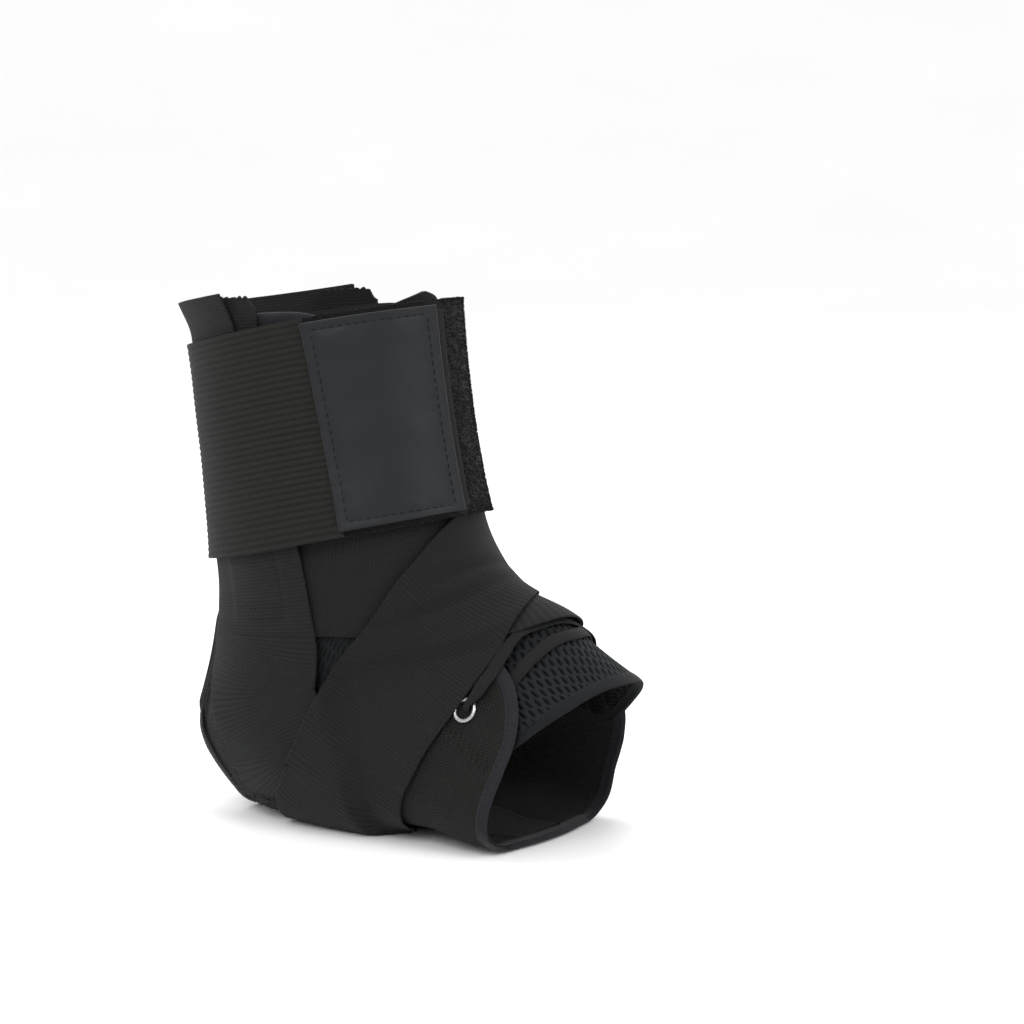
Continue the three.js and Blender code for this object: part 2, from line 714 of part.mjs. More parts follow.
// The upper lace leaves its eyelet over the rolled rim and crosses the instep to the other eyelet.
function laceArch() {
  const path = route(LACE_ROUTE);
  const fromEnd = (share) => Math.min(share, 1 - share);
  const overLip = WALL + EYELET_LIP + 2 * CLEARANCE;
  const rest = WALL + CLEARANCE;
  const inside = (place, share) => {
    const lift = lerp(overLip - LACE_THICKNESS, overLip, fade(0, 0.025, fromEnd(share)));
    return lerp(lift, rest, fade(0.1, 0.16, fromEnd(share)));
  };
  const outside = (place, share) => inside(place, share) + LACE_THICKNESS;
  const half = (share) => (LACE_WIDTH / 2) * lerp(0.6, 1, fade(0.05, 0.14, fromEnd(share)));
  return band({ path, step: 3.5, across: 1, from: (share) => -half(share), to: half, inside, outside });
}

function laceBar() {
  const half = LACE_WIDTH / 2;
  const lace = { path: route(wholeLoop(LACE_BAR, 0)), step: 4.5, across: 1, from: -half, to: half };
  return band({ ...lace, inside: always(-TONGUE_CLEARANCE + CLEARANCE), outside: always(LACE_THICKNESS) });
}

// Materials

const cloth = (color, roughness) => new THREE.MeshStandardMaterial({ color, roughness, metalness: 0 });
const MATERIALS = {
  boot: () => cloth(0x2a2b2e, 0.8),
  binding: () => cloth(0x3c3c44, 0.9),
  webbing: () => cloth(0x2c2e2d, 0.7),
  elastic: () => cloth(0x33342f, 0.85),
  pile: () => cloth(0x1c1d1e, 1),
  satin: () => cloth(0x3a3c40, 0.45),
  mesh: () => cloth(0x23272b, 0.85),
  lace: () => cloth(0x26272a, 0.8),
  nickel: () => new THREE.MeshStandardMaterial({ color: 0xc8c8c8, roughness: 0.25, metalness: 1 }),
};

const brace = new THREE.Group();

function add(name, geometry, material) {
  const mesh = new THREE.Mesh(geometry, MATERIALS[material]());
  mesh.name = name;
  brace.add(mesh);
}

add('quarter_outer', quarter(-1), 'boot');
add('quarter_inner', quarter(1), 'boot');
add('achilles_panel', achillesPanel(), 'boot');
add('sole_panel', solePanel(), 'boot');
add('tongue', tongue(), 'mesh');
add('tongue_border', tongueBorder(), 'mesh');
add('front_binding', frontBinding(), 'binding');
add('heel_binding', heelBinding(), 'binding');
add('rim_binding', rimBinding(), 'binding');
add('strap_under', strap(INNER_STRAP, 1, innerLayer), 'webbing');
add('strap_over', strap(OUTER_STRAP, -1, outerLayer), 'webbing');
add('stay_pocket_outer', stayPocket(-1), 'webbing');
add('stay_pocket_inner', stayPocket(1), 'webbing');
add('elastic_cuff', cuff(), 'elastic');
add('loop_strip', loopStrip(), 'pile');
add('hook_tab', hookTab(), 'webbing');
add('label_patch', labelPatch(), 'satin');
add('eyelet_outer', eyelet(-1), 'nickel');
add('eyelet_inner', eyelet(1), 'nickel');
add('lace_arch', laceArch(), 'lace');
add('lace_bar', laceBar(), 'lace');

export default brace;
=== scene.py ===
"""Looks of a lace-up ankle brace for the right side, built round its solids as it stands on its sole.

Lengths are in millimetres until a mesh is written, which is in metres. A place on the form is
"along" (0 at the top rim, 1 at the front edge of the sole) and "round" (degrees, 0 at the front,
-90 on the outer side, 180 at the back or under the sole).
"""
import logging
import math
from dataclasses import dataclass
from enum import Enum
from typing import Callable, Optional, Sequence, Union

import bpy
import numpy as np
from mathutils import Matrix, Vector


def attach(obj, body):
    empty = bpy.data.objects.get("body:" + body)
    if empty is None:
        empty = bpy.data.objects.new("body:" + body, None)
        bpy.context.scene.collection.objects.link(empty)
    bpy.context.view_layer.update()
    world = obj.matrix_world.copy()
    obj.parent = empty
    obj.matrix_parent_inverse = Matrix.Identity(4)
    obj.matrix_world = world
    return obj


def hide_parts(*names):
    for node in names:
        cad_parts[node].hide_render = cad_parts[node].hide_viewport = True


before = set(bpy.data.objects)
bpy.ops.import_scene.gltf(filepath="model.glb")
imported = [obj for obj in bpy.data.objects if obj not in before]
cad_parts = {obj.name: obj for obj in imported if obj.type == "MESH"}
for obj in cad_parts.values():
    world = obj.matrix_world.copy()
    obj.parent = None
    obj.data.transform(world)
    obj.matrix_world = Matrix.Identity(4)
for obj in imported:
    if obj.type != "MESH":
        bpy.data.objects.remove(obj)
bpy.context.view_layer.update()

MM = 0.001
LOG = logging.getLogger("brace")
Array = np.ndarray
Amount = Union[float, Array]
Socket = bpy.types.NodeSocket

WALL = 1.8
CLEARANCE = 0.5
CORNER_SLACK = 1.35
PRESS = 0.3
STRAP_WIDTH = 50.0
STRAP_THICKNESS = 1.25
SEAM_ROUND = 150.0
TAPE_WIDTH = 5.0
HOLE_COLUMN = 2.75
HOLE_ROW = 5.2
HOLE_BIAS = 30.0
HOLE_REACH = (0.18, 0.38)
HOLE_STEEP = 1.7
# about how many millimetres one unit along and one degree round are
ROUTE_SCALE = (200.0, 0.65)
ROUTE_SAMPLES = 900
# where extra rows lie by an edge, as shares of its rounding
EDGE_STEPS = (0.12, 0.35, 0.7, 1.0)


def fade(start: float, stop: float, value: Amount) -> Amount:
    """A smooth step from 0 at start to 1 at stop, in either direction."""
    t = np.clip((np.asarray(value, float) - start) / (stop - start), 0, 1)
    return t * t * (3 - 2 * t)


def bell(distance: Amount, width: float) -> Amount:
    """A smooth hump of height 1 that dies away over the width."""
    return np.exp(-((np.asarray(distance, float) / width) ** 2))


def ripple(points: Array, pitch: float, seed: float) -> Array:
    """Soft irregular waves over points in space.

    Args:
        points: points in millimetres.
        pitch: about how long one wave is.
        seed: moves the waves about.

    Returns:
        Heights from about -1 to 1.
    """
    x, y, z = (points[..., k] * (2 * math.pi / pitch) for k in range(3))
    first = np.sin(x * 0.9 + 1.7 * np.sin(z * 0.6 + seed) + seed)
    second = np.sin(y * 1.1 + 1.3 * np.sin(x * 0.5 - seed) + 2.1 * seed)
    third = np.sin(z * 1.0 + 1.5 * np.sin(y * 0.7 + 2 * seed))
    return (first + second + third) / 3


def strap_inside(layer: Amount, slack: Amount = 0.0) -> Amount:
    """Distance from the form to the inside of a strap layer; layer 2 lies on the boot."""
    gap = CLEARANCE * (1 + slack)
    return WALL + gap + (layer - 2) * (STRAP_THICKNESS + gap)


@dataclass
class WornForm:
    """The shape that every layer of cloth follows."""

    length: float = 183.0
    height: float = 199.0
    top_width: float = 68.0
    sole_blend: float = 45.0
    toe_ramp: tuple[float, float] = (12.0, 38.0)
    heel_ramp: tuple[float, float] = (8.0, 42.0)
    floor_gap: float = 0.02
    floor_share: float = 0.25
    floor_layers: float = 5.5
    # along, frontX, frontZ, backX, backZ, width, middle, frontPower, backPower
    sections: Sequence[Sequence[float]] = (
        (-0.08, 0.093, 1.08, -0.417, 0.997, 0.504, 0.5, 2, 2.1),
        (0, 0.101, 1, -0.404, 0.92, 0.5, 0.5, 2, 2.1),
        (0.14, 0.115, 0.859, -0.383, 0.784, 0.493, 0.5, 2, 2.1),
        (0.28, 0.142, 0.698, -0.361, 0.628, 0.5, 0.5, 2, 2.1),
        (0.4, 0.175, 0.568, -0.344, 0.467, 0.537, 0.5, 2, 2.1),
        (0.5, 0.219, 0.497, -0.361, 0.286, 0.537, 0.48, 2, 2.2),
        (0.6, 0.273, 0.452, -0.41, 0.121, 0.515, 0.45, 2, 2.3),
        (0.68, 0.331, 0.43, -0.311, 0.005, 0.515, 0.42, 2, 2.45),
        (0.78, 0.407, 0.4045, -0.109, 0, 0.544, 0.38, 2, 3.4),
        (0.88, 0.489, 0.357, 0.137, 0, 0.588, 0.34, 2, 3.4),
        (1, 0.59, 0.294, 0.393, 0, 0.632, 0.32, 2.1, 3.6),
        (1.08, 0.667, 0.251, 0.525, 0, 0.662, 0.32, 2.2, 3.4),
    )

    def columns(self, along: Array) -> list[Array]:
        """Every column of the sections, at places along the form.

        Args:
            along: places along the form.

        Returns:
            The eight columns after the first, in the order of the table.
        """
        table = np.array(self.sections, float)
        x, y = table[:, 0], table[:, 1:]
        ahead = np.minimum(np.arange(len(x)) + 1, len(x) - 1)
        before = np.maximum(np.arange(len(x)) - 1, 0)
        slope = (y[ahead] - y[before]) / (x[ahead] - x[before])[:, None]
        i = np.clip(np.searchsorted(x, along, side="left") - 1, 0, len(x) - 2)
        span = (x[i + 1] - x[i])[..., None]
        t = (along - x[i])[..., None] / span
        step = t * t * (3 - 2 * t)
        value = y[i] * (1 - step) + y[i + 1] * step
        value = value + (t - 1) ** 2 * t * span * slope[i] + t * t * (t - 1) * span * slope[i + 1]
        return [value[..., k] for k in range(8)]

    def sole_lift(self, x: Array) -> Array:
        """How far the two straps under the sole lift it.

        Args:
            x: places along the sole, from the middle of the straps.

        Returns:
            The lift, which runs out past the straps' edges.
        """
        low = WALL - PRESS
        high = strap_inside(4) - CLEARANCE - PRESS
        past = np.abs(x) - STRAP_WIDTH / 2
        down = np.where(x > 0, fade(*self.toe_ramp, past), fade(*self.heel_ramp, past))
        return high + (low - high) * down

    def skin(self, along: Array, round_: Array) -> Array:
        """Points of the bare form.

        Args:
            along: places along the form.
            round_: degrees round it, of the same shape.

        Returns:
            Points in millimetres, with one more axis.
        """
        fx, fz, bx, bz, width, middle, front_power, back_power = self.columns(along)
        angle = np.radians(round_)
        fx, bx = fx * self.length, bx * self.length
        fz, bz = fz * self.height, bz * self.height
        depth = np.hypot(fx - bx, fz - bz)
        cos, sin = np.cos(angle), np.sin(angle)
        power = np.where(cos >= 0, front_power, back_power)
        half = np.where(cos >= 0, 1 - middle, middle) * depth
        total = np.abs(cos / half) ** power + np.abs(sin / (width * self.top_width)) ** power
        radius = total ** (-1 / power)
        share = middle + radius * cos / depth
        x = bx + share * (fx - bx)
        bare = bz + share * (fz - bz)
        z = bare + self.sole_lift(x) * fade(self.sole_blend, 0, bare)
        return np.stack([x, radius * sin, z], -1)

    def directions(self, along: Array, round_: Array) -> tuple[Array, Array, Array]:
        """Directions at places on the form.

        Args:
            along: places along the form.
            round_: degrees round it, of the same shape.

        Returns:
            The steps per unit along and per degree round, and the outward direction.
        """
        ds, da = 1e-3, 0.1
        a = (self.skin(along + ds, round_) - self.skin(along - ds, round_)) / (2 * ds)
        r = (self.skin(along, round_ + da) - self.skin(along, round_ - da)) / (2 * da)
        out = np.cross(a, r)
        return a, r, out / np.linalg.norm(out, axis=-1, keepdims=True)

    def point(self, along: Array, round_: Array, offset: Amount) -> Array:
        """Points at a distance outside the form, pressed flat on the floor, outer layers lowest.

        Args:
            along: places along the form.
            round_: degrees round it, of the same shape.
            offset: distance outside it, one number or one for each place.

        Returns:
            Points in millimetres, with one more axis.
        """
        out = self.directions(along, round_)[2]
        offset = np.broadcast_to(np.asarray(offset, float), out.shape[:-1])
        points = self.skin(along, round_) + out * offset[..., None]
        floor = self.floor_gap + self.floor_share * np.maximum(self.floor_layers - offset, 0)
        points[..., 2] = np.maximum(points[..., 2], floor)
        return points

    def walk(self, along: Array, round_: Array, heading: Array, distance: Array) -> tuple[Array, Array]:
        """Places reached by walking over the form.

        Args:
            along: start places.
            round_: start degrees.
            heading: direction at the start, one vector for each place.
            distance: how far to walk, in millimetres.

        Returns:
            The places along and the degrees round that are reached.
        """
        steps = max(1, math.ceil(float(np.abs(distance).max()) / 3))
        stride = distance / steps
        along, round_ = along.copy(), round_.copy()
        for _ in range(steps):
            a, r, out = self.directions(along, round_)
            heading = heading - out * np.sum(heading * out, -1, keepdims=True)
            heading = heading / np.linalg.norm(heading, axis=-1, keepdims=True)
            aa, rr, ar = np.sum(a * a, -1), np.sum(r * r, -1), np.sum(a * r, -1)
            da, dr = np.sum(heading * a, -1), np.sum(heading * r, -1)
            scale = stride / (aa * rr - ar * ar)
            along = along + scale * (da * rr - dr * ar)
            round_ = round_ + scale * (dr * aa - da * ar)
        return along, round_


FORM = WornForm()
Rows = Sequence[tuple[float, float]]


def mirrored(rows: Rows) -> list[tuple[float, float]]:
    """The same rows on the other side of the form."""
    return [(along, -round_) for along, round_ in rows]


def whole_loop(rows: Rows, turn: float) -> list[tuple[float, float]]:
    """Rows of one half and then the other half, past a last row in the middle."""
    return [*rows, *[(along, turn - round_) for along, round_ in rows[-2::-1]]]


class Route:
    """A smooth line over the form through rows of places, measured by its length."""

    def __init__(self, rows: Rows, closed: bool = False) -> None:
        """Samples the line finely.

        Args:
            rows: places (along, round) that the line passes through.
            closed: whether the last row runs on into the first.
        """
        self.scale = np.array(ROUTE_SCALE)
        self.points = np.array(rows, float) * self.scale
        self.closed = closed
        shares = np.linspace(0, 1, ROUTE_SAMPLES)
        along, round_ = self.at(shares)
        spots = FORM.point(along, round_, 0.0)
        steps = np.linalg.norm(np.diff(spots, axis=0), axis=1)
        self.shares = shares
        self.lengths = np.concatenate([[0], np.cumsum(steps)])
        self.length = float(self.lengths[-1])

    def at(self, share: Array) -> tuple[Array, Array]:
        """The places at shares of the line, on a centripetal curve through its rows.

        Args:
            share: shares of the line, from 0 to 1.

        Returns:
            The places along and the degrees round.
        """
        pts, count = self.points, len(self.points)
        p = share * (count if self.closed else count - 1)
        i = np.floor(p).astype(int)
        if self.closed:
            index = [(i + k) % count for k in (-1, 0, 1, 2)]
            p0, p1, p2, p3 = (pts[k] for k in index)
        else:
            i = np.minimum(i, count - 2)
            longer = np.vstack([2 * pts[0] - pts[1], pts, 2 * pts[-1] - pts[-2]])
            p0, p1, p2, p3 = (longer[i + k] for k in range(4))
        w = (p - i)[:, None]
        pairs = ((p0, p1), (p1, p2), (p2, p3))
        gaps = [np.sqrt(np.linalg.norm(b - a, axis=1))[:, None] for a, b in pairs]
        d0, d1, d2 = (np.maximum(g, 1e-3) for g in gaps)
        t1 = ((p1 - p0) / d0 - (p2 - p0) / (d0 + d1) + (p2 - p1) / d1) * d1
        t2 = ((p2 - p1) / d1 - (p3 - p1) / (d1 + d2) + (p3 - p2) / d2) * d1
        square, cube = -3 * p1 + 3 * p2 - 2 * t1 - t2, 2 * p1 - 2 * p2 + t1 + t2
        value = p1 + t1 * w + square * w**2 + cube * w**3
        return value[:, 0] / self.scale[0], value[:, 1] / self.scale[1]

    def at_length(self, distance: Array) -> tuple[Array, Array]:
        """The places at distances from the start, in millimetres."""
        return self.at(np.interp(distance, self.lengths, self.shares))

    def frames(self, distance: Array) -> tuple[Array, Array, Array, Array]:
        """Places and directions at distances from the start.

        Args:
            distance: millimetres from the start of the line.

        Returns:
            along, round, the direction to the left of the line, and the direction forward.
        """
        along, round_ = self.at_length(distance)
        if self.closed:
            before, after = (distance - 0.5) % self.length, (distance + 0.5) % self.length
        else:
            before, after = np.maximum(distance - 0.5, 0), np.minimum(distance + 0.5, self.length)
        ahead = FORM.point(*self.at_length(after), 0.0) - FORM.point(*self.at_length(before), 0.0)
        out = FORM.directions(along, round_)[2]
        left = np.cross(out, ahead)
        left /= np.linalg.norm(left, axis=1, keepdims=True)
        return along, round_, left, np.cross(left, out)


@dataclass
class Grid:
    """Places on the form in rows and columns, with the cloth's own measures in millimetres."""

    along: Array
    round_: Array
    u: Array
    v: Array
    closed: bool = False

    def points(self, offset: Amount) -> Array:
        """Points of the grid at a distance outside the form."""
        return FORM.point(self.along, self.round_, np.broadcast_to(offset, self.along.shape))


def spaced(start: float, stop: float, pitch: float, edge: float = 0.0) -> Array:
    """Numbers from start to stop, with closer ones by both ends where an edge is round.

    Args:
        start: the first number.
        stop: the last number.
        pitch: about how far apart they are.
        edge: how far in the round edge reaches, or 0.

    Returns:
        The numbers in order.
    """
    count = max(1, round(abs(stop - start) / pitch))
    values = np.linspace(start, stop, count + 1)
    if edge:
        sign = 1 if stop > start else -1
        near = np.array(EDGE_STEPS) * edge * sign
        clear = edge * 1.3
        inside = values[(np.abs(values - start) > clear) & (np.abs(values - stop) > clear)]
        values = np.concatenate([[start], start + near, inside, (stop - near)[::-1], [stop]])
    return values


def band_grid(
    route: Route,
    pitch: float,
    sides: Array,
    ends: float = 0.0,
    lag: Optional[Callable[[Array, Array], Array]] = None,
    spread: Optional[Callable[[Array, Array], Array]] = None,
) -> Grid:
    """A strip that follows a route.

    Args:
        route: its line.
        pitch: distance between its rows.
        sides: distances of its columns to the left of the line.
        ends: how close to its ends extra rows lie, for a rounded edge.
        lag: how far each point falls behind, from its distance and its column.
        spread: how far to the left each column really lies, where the strip is pulled narrower.

    Returns:
        The grid, with u along the strip and v across it.
    """
    if route.closed:
        rows = np.linspace(0, route.length, max(8, round(route.length / pitch)) + 1)
    else:
        rows = spaced(0, route.length, pitch, ends)
    u, v = np.meshgrid(rows, sides, indexing="ij")
    along, round_, left, forward = route.frames(rows)
    ones = np.ones_like(u)
    along, round_ = along[:, None] * ones, round_[:, None] * ones
    left, forward = (np.repeat(d[:, None, :], len(sides), axis=1) for d in (left, forward))
    if lag is not None:
        along, round_ = FORM.walk(along, round_, forward, -lag(u, v))
    along, round_ = FORM.walk(along, round_, left, v if spread is None else spread(u, v))
    return Grid(along, round_, u, v, route.closed)


def lay(grid: Grid, outside: Array, u: Array, v: Array) -> tuple[Array, Array]:
    """Points on the outer face of a cloth, at places measured in millimetres on it.

    Args:
        grid: the cloth's grid, in straight rows and columns.
        outside: distance of its outer face from the form, over the grid.
        u: distances along it.
        v: distances across it.

    Returns:
        The points and the outward direction at each.
    """
    row = np.interp(u, grid.u[:, 0], np.arange(len(grid.u)))
    column = np.interp(v, grid.v[0], np.arange(grid.v.shape[1]))
    i = np.minimum(row.astype(int), grid.u.shape[0] - 2)
    j = np.minimum(column.astype(int), grid.u.shape[1] - 2)
    a, b = row - i, column - j
    values = []
    for field_ in (grid.along, grid.round_, outside):
        near = field_[i, j] * (1 - b) + field_[i, j + 1] * b
        values.append(near * (1 - a) + (field_[i + 1, j] * (1 - b) + field_[i + 1, j + 1] * b) * a)
    return FORM.point(*values), FORM.directions(*values[:2])[2]


def measured(along: Array, round_: Array) -> Grid:
    """A grid whose measures are the lengths of its own middle row and column.

    Args:
        along: places along the form, in rows and columns.
        round_: degrees round it.

    Returns:
        The grid.
    """
    spots = FORM.point(along, round_, 0.0)
    rows = np.linalg.norm(np.diff(spots[:, spots.shape[1] // 2], axis=0), axis=1)
    columns = np.linalg.norm(np.diff(spots[spots.shape[0] // 2], axis=0), axis=1)
    u, v = (np.concatenate([[0], np.cumsum(x)]) for x in (rows, columns))
    return Grid(along, round_, *np.meshgrid(u, v, indexing="ij"))


def round_edge(distance: Array, reach: float, drop: float) -> Array:
    """How much lower a cloth lies near its edge, so that the edge looks round."""
    t = np.clip(1 - distance / reach, 0, 1)
    return drop * (1 - np.sqrt(np.maximum(1 - t * t, 0)))


def edge_distance(values: Array) -> Array:
    """Distance of each value from the nearer of the lowest and the highest."""
    return np.minimum(values - values.min(), values.max() - values)


def only(obj: bpy.types.Object) -> None:
    """Selects one object alone and makes it the active one.

    Args:
        obj: the object.
    """
    bpy.ops.object.select_all(action="DESELECT")
    obj.select_set(True)
    bpy.context.view_layer.objects.active = obj


def apply_all(obj: bpy.types.Object) -> None:
    """Applies every modifier of an object, in order."""
    only(obj)
    for modifier in list(obj.modifiers):
        bpy.ops.object.modifier_apply(modifier=modifier.name)


def smooth(obj: bpy.types.Object, degrees: float = 50.0) -> None:
    """Shades an object smooth except over sharp edges."""
    only(obj)
    bpy.ops.object.shade_smooth_by_angle(angle=math.radians(degrees))


def cloth(name: str, grid: Grid, outside: Amount, thickness: float) -> bpy.types.Object:
    """A piece of cloth with a thickness, laid over the form.

    Args:
        name: the piece's name.
        grid: its places, with u and v in millimetres for its pattern.
        outside: distance of its outer face from the form.
        thickness: of the cloth, inwards from the outer face.

    Returns:
        The finished mesh object at the origin.
    """
    return sheet_from(name, grid.points(outside), grid.u, grid.v, thickness, grid.closed)


def sheet_from(
    name: str, points: Array, u: Array, v: Array, thickness: float, closed: bool = False
) -> bpy.types.Object:
    """A sheet through a grid of points, given a thickness inwards.

    Args:
        name: the piece's name.
        points: points of its outer face, in rows and columns.
        u: distance of each along the cloth.
        v: distance of each across it.
        thickness: of the cloth.
        closed: whether the last row meets the first.

    Returns:
        The finished mesh object at the origin.
    """
    rows, columns = points.shape[:2]
    bpy.ops.object.select_all(action="DESELECT")
    bpy.ops.mesh.primitive_grid_add(x_subdivisions=rows - 1, y_subdivisions=columns - 1, size=2)
    obj = bpy.context.object
    obj.name = name
    mesh = obj.data
    mesh.name = name
    count = len(mesh.vertices)
    flat = np.zeros(count * 3)
    mesh.vertices.foreach_get("co", flat)
    flat = flat.reshape(-1, 3)
    i = np.rint((flat[:, 0] + 1) / 2 * (rows - 1)).astype(int)
    j = np.rint((flat[:, 1] + 1) / 2 * (columns - 1)).astype(int)
    mesh.vertices.foreach_set("co", (points[i, j] * MM).ravel())
    corner = np.zeros(len(mesh.loops), int)
    mesh.loops.foreach_get("vertex_index", corner)
    layer = mesh.uv_layers[0] if mesh.uv_layers else mesh.uv_layers.new(name="cloth")
    layer.name = "cloth"
    layer.data.foreach_set("uv", np.stack([u[i, j], v[i, j]], -1)[corner].ravel())
    mesh.update()
    if closed:
        only(obj)
        bpy.ops.object.mode_set(mode="EDIT")
        bpy.ops.mesh.select_all(action="SELECT")
        bpy.ops.mesh.remove_doubles(threshold=1e-5)
        bpy.ops.object.mode_set(mode="OBJECT")
    if thickness:
        solid = obj.modifiers.new("thickness", "SOLIDIFY")
        solid.thickness = thickness * MM
        solid.offset = -1
        apply_all(obj)
    smooth(obj)
    return obj


def many(
    name: str, shape: bpy.types.Object, spots: Array, axes: Array, sizes: Array
) -> bpy.types.Object:
    """One mesh with a copy of a small shape at each spot.

    Args:
        name: the new piece's name.
        shape: the small shape, about one unit long along X; it is removed.
        spots: where the copies go, in millimetres.
        axes: three directions for each copy, as rows.
        sizes: three sizes for each copy, in millimetres.

    Returns:
        The mesh object at the origin.
    """
    base = np.array([v.co for v in shape.data.vertices])
    faces = [tuple(p.vertices) for p in shape.data.polygons]
    bpy.data.objects.remove(shape)
    scaled = base[None] * sizes[:, None, :]
    points = np.einsum("nij,njk->nik", scaled, axes) + spots[:, None, :]
    mesh = bpy.data.meshes.new(name)
    all_faces = [tuple(k + n * len(base) for k in face) for n in range(len(spots)) for face in faces]
    mesh.from_pydata((points.reshape(-1, 3) * MM).tolist(), [], all_faces)
    mesh.update()
    obj = bpy.data.objects.new(name, mesh)
    bpy.context.collection.objects.link(obj)
    smooth(obj, 80)
    return obj


def bead(segments: int = 6, rings: int = 4) -> bpy.types.Object:
    """A small round shape one unit across, from which stitches and tufts are copied.

    Args:
        segments: faces round it.
        rings: rows of faces from pole to pole.

    Returns:
        The mesh object.
    """
    bpy.ops.object.select_all(action="DESELECT")
    bpy.ops.mesh.primitive_uv_sphere_add(segments=segments, ring_count=rings, radius=0.5)
    return bpy.context.object


def stitches(
    name: str, points: Array, outs: Array, pitch: float, length: float, width: float
) -> bpy.types.Object:
    """A row of stitches along lines of points.

    Args:
        name: the new piece's name.
        points: points of the line, close together, on the face of the cloth.
        outs: the outward direction at each point.
        pitch: distance from one stitch to the next.
        length: length of one stitch.
        width: thickness of its thread.

    Returns:
        The mesh object.
    """
    steps = np.linalg.norm(np.diff(points, axis=0), axis=1)
    at = np.concatenate([[0], np.cumsum(steps)])
    spots = np.arange(pitch / 2, at[-1], pitch)

    def pick(values: Array, where: Array) -> Array:
        """Values of the line at distances along it."""
        return np.stack([np.interp(where, at, values[:, k]) for k in range(3)], -1)

    ahead = pick(points, spots + length / 2) - pick(points, spots - length / 2)
    ahead /= np.linalg.norm(ahead, axis=1, keepdims=True) + 1e-9
    out = pick(outs, spots)
    side = np.cross(out, ahead)
    side /= np.linalg.norm(side, axis=1, keepdims=True) + 1e-9
    axes = np.stack([ahead, side, np.cross(ahead, side)], 1)
    sizes = np.tile([length, width, width * 0.8], (len(spots), 1))
    return many(name, bead(), pick(points, spots), axes, sizes)


def joined(name: str, pieces: Sequence[bpy.types.Object]) -> bpy.types.Object:
    """Several objects made into one.

    Args:
        name: the new piece's name.
        pieces: the objects, of which the first one stays.

    Returns:
        The joined object.
    """
    bpy.ops.object.select_all(action="DESELECT")
    for piece in pieces:
        piece.select_set(True)
    bpy.context.view_layer.objects.active = pieces[0]
    bpy.ops.object.join()
    pieces[0].name = name
    pieces[0].data.name = name
    return pieces[0]


class Nodes:
    """Short calls for building a node tree."""

    def __init__(self, tree: bpy.types.NodeTree) -> None:
        """Holds the tree that the calls add to."""
        self.tree = tree

    def add(self, kind: str, **settings: object) -> bpy.types.Node:
        """A new node.

        Args:
            kind: its type.
            settings: its properties by name.

        Returns:
            The node.
        """
        node = self.tree.nodes.new(kind)
        for key, value in settings.items():
            setattr(node, key, value)
        return node

    def feed(self, target: Socket, value: Union[Socket, float, Sequence[float]]) -> None:
        """Links a socket to a target, or sets the target's own value."""
        if isinstance(value, bpy.types.NodeSocket):
            self.tree.links.new(value, target)
        else:
            target.default_value = value

    def math(self, operation: str, *values: Union[Socket, float], clamp: bool = False) -> Socket:
        """The result of one Math node.

        Args:
            operation: what it does.
            values: its inputs, as sockets or numbers.
            clamp: whether the result stays from 0 to 1.

        Returns:
            Its output.
        """
        node = self.add("ShaderNodeMath", operation=operation, use_clamp=clamp)
        for target, value in zip(node.inputs, values):
            self.feed(target, value)
        return node.outputs[0]

    def wave(self, value: Socket, pitch: Union[Socket, float]) -> Socket:
        """Round ridges, 0 to 1, one for each pitch."""
        turned = self.math("MULTIPLY", self.math("DIVIDE", value, pitch), math.pi)
        return self.math("ABSOLUTE", self.math("SINE", turned))

    def mix(self, share: Union[Socket, float], first: object, second: object, blend: str = "MIX") -> Socket:
        """One colour mixed with another.

        Args:
            share: share of the second colour.
            first: the first colour.
            second: the second colour.
            blend: how they mix.

        Returns:
            The mixed colour.
        """
        node = self.add("ShaderNodeMix", data_type="RGBA", blend_type=blend)
        self.feed(node.inputs["Factor"], share)
        self.feed(node.inputs["A"], first)
        self.feed(node.inputs["B"], second)
        return node.outputs["Result"]


def new_group(
    name: str, takes: Sequence[tuple[str, str, object]], gives: Sequence[tuple[str, str]]
) -> tuple[bpy.types.NodeTree, Nodes, bpy.types.Node, bpy.types.Node]:
    """An empty shader node group with its sockets.

    Args:
        name: the group's name.
        takes: name, kind and default value of each input.
        gives: name and kind of each output.

    Returns:
        The group, its Nodes helper, and its input and output nodes.
    """
    group = bpy.data.node_groups.new(name, "ShaderNodeTree")
    for label, kind, value in takes:
        item = group.interface.new_socket(name=label, in_out="INPUT", socket_type=kind)
        if value is not None:
            item.default_value = value
    for label, kind in gives:
        group.interface.new_socket(name=label, in_out="OUTPUT", socket_type=kind)
    nodes = Nodes(group)
    return group, nodes, nodes.add("NodeGroupInput"), nodes.add("NodeGroupOutput")


FLOAT = "NodeSocketFloat"
COLOR = "NodeSocketColor"
VECTOR = "NodeSocketVector"
PATCH_SCALE = 45.0
FIBRE_SCALE = 2600.0
FIBRE_DEPTH = 0.5
PATCH_GLOSS = 0.15


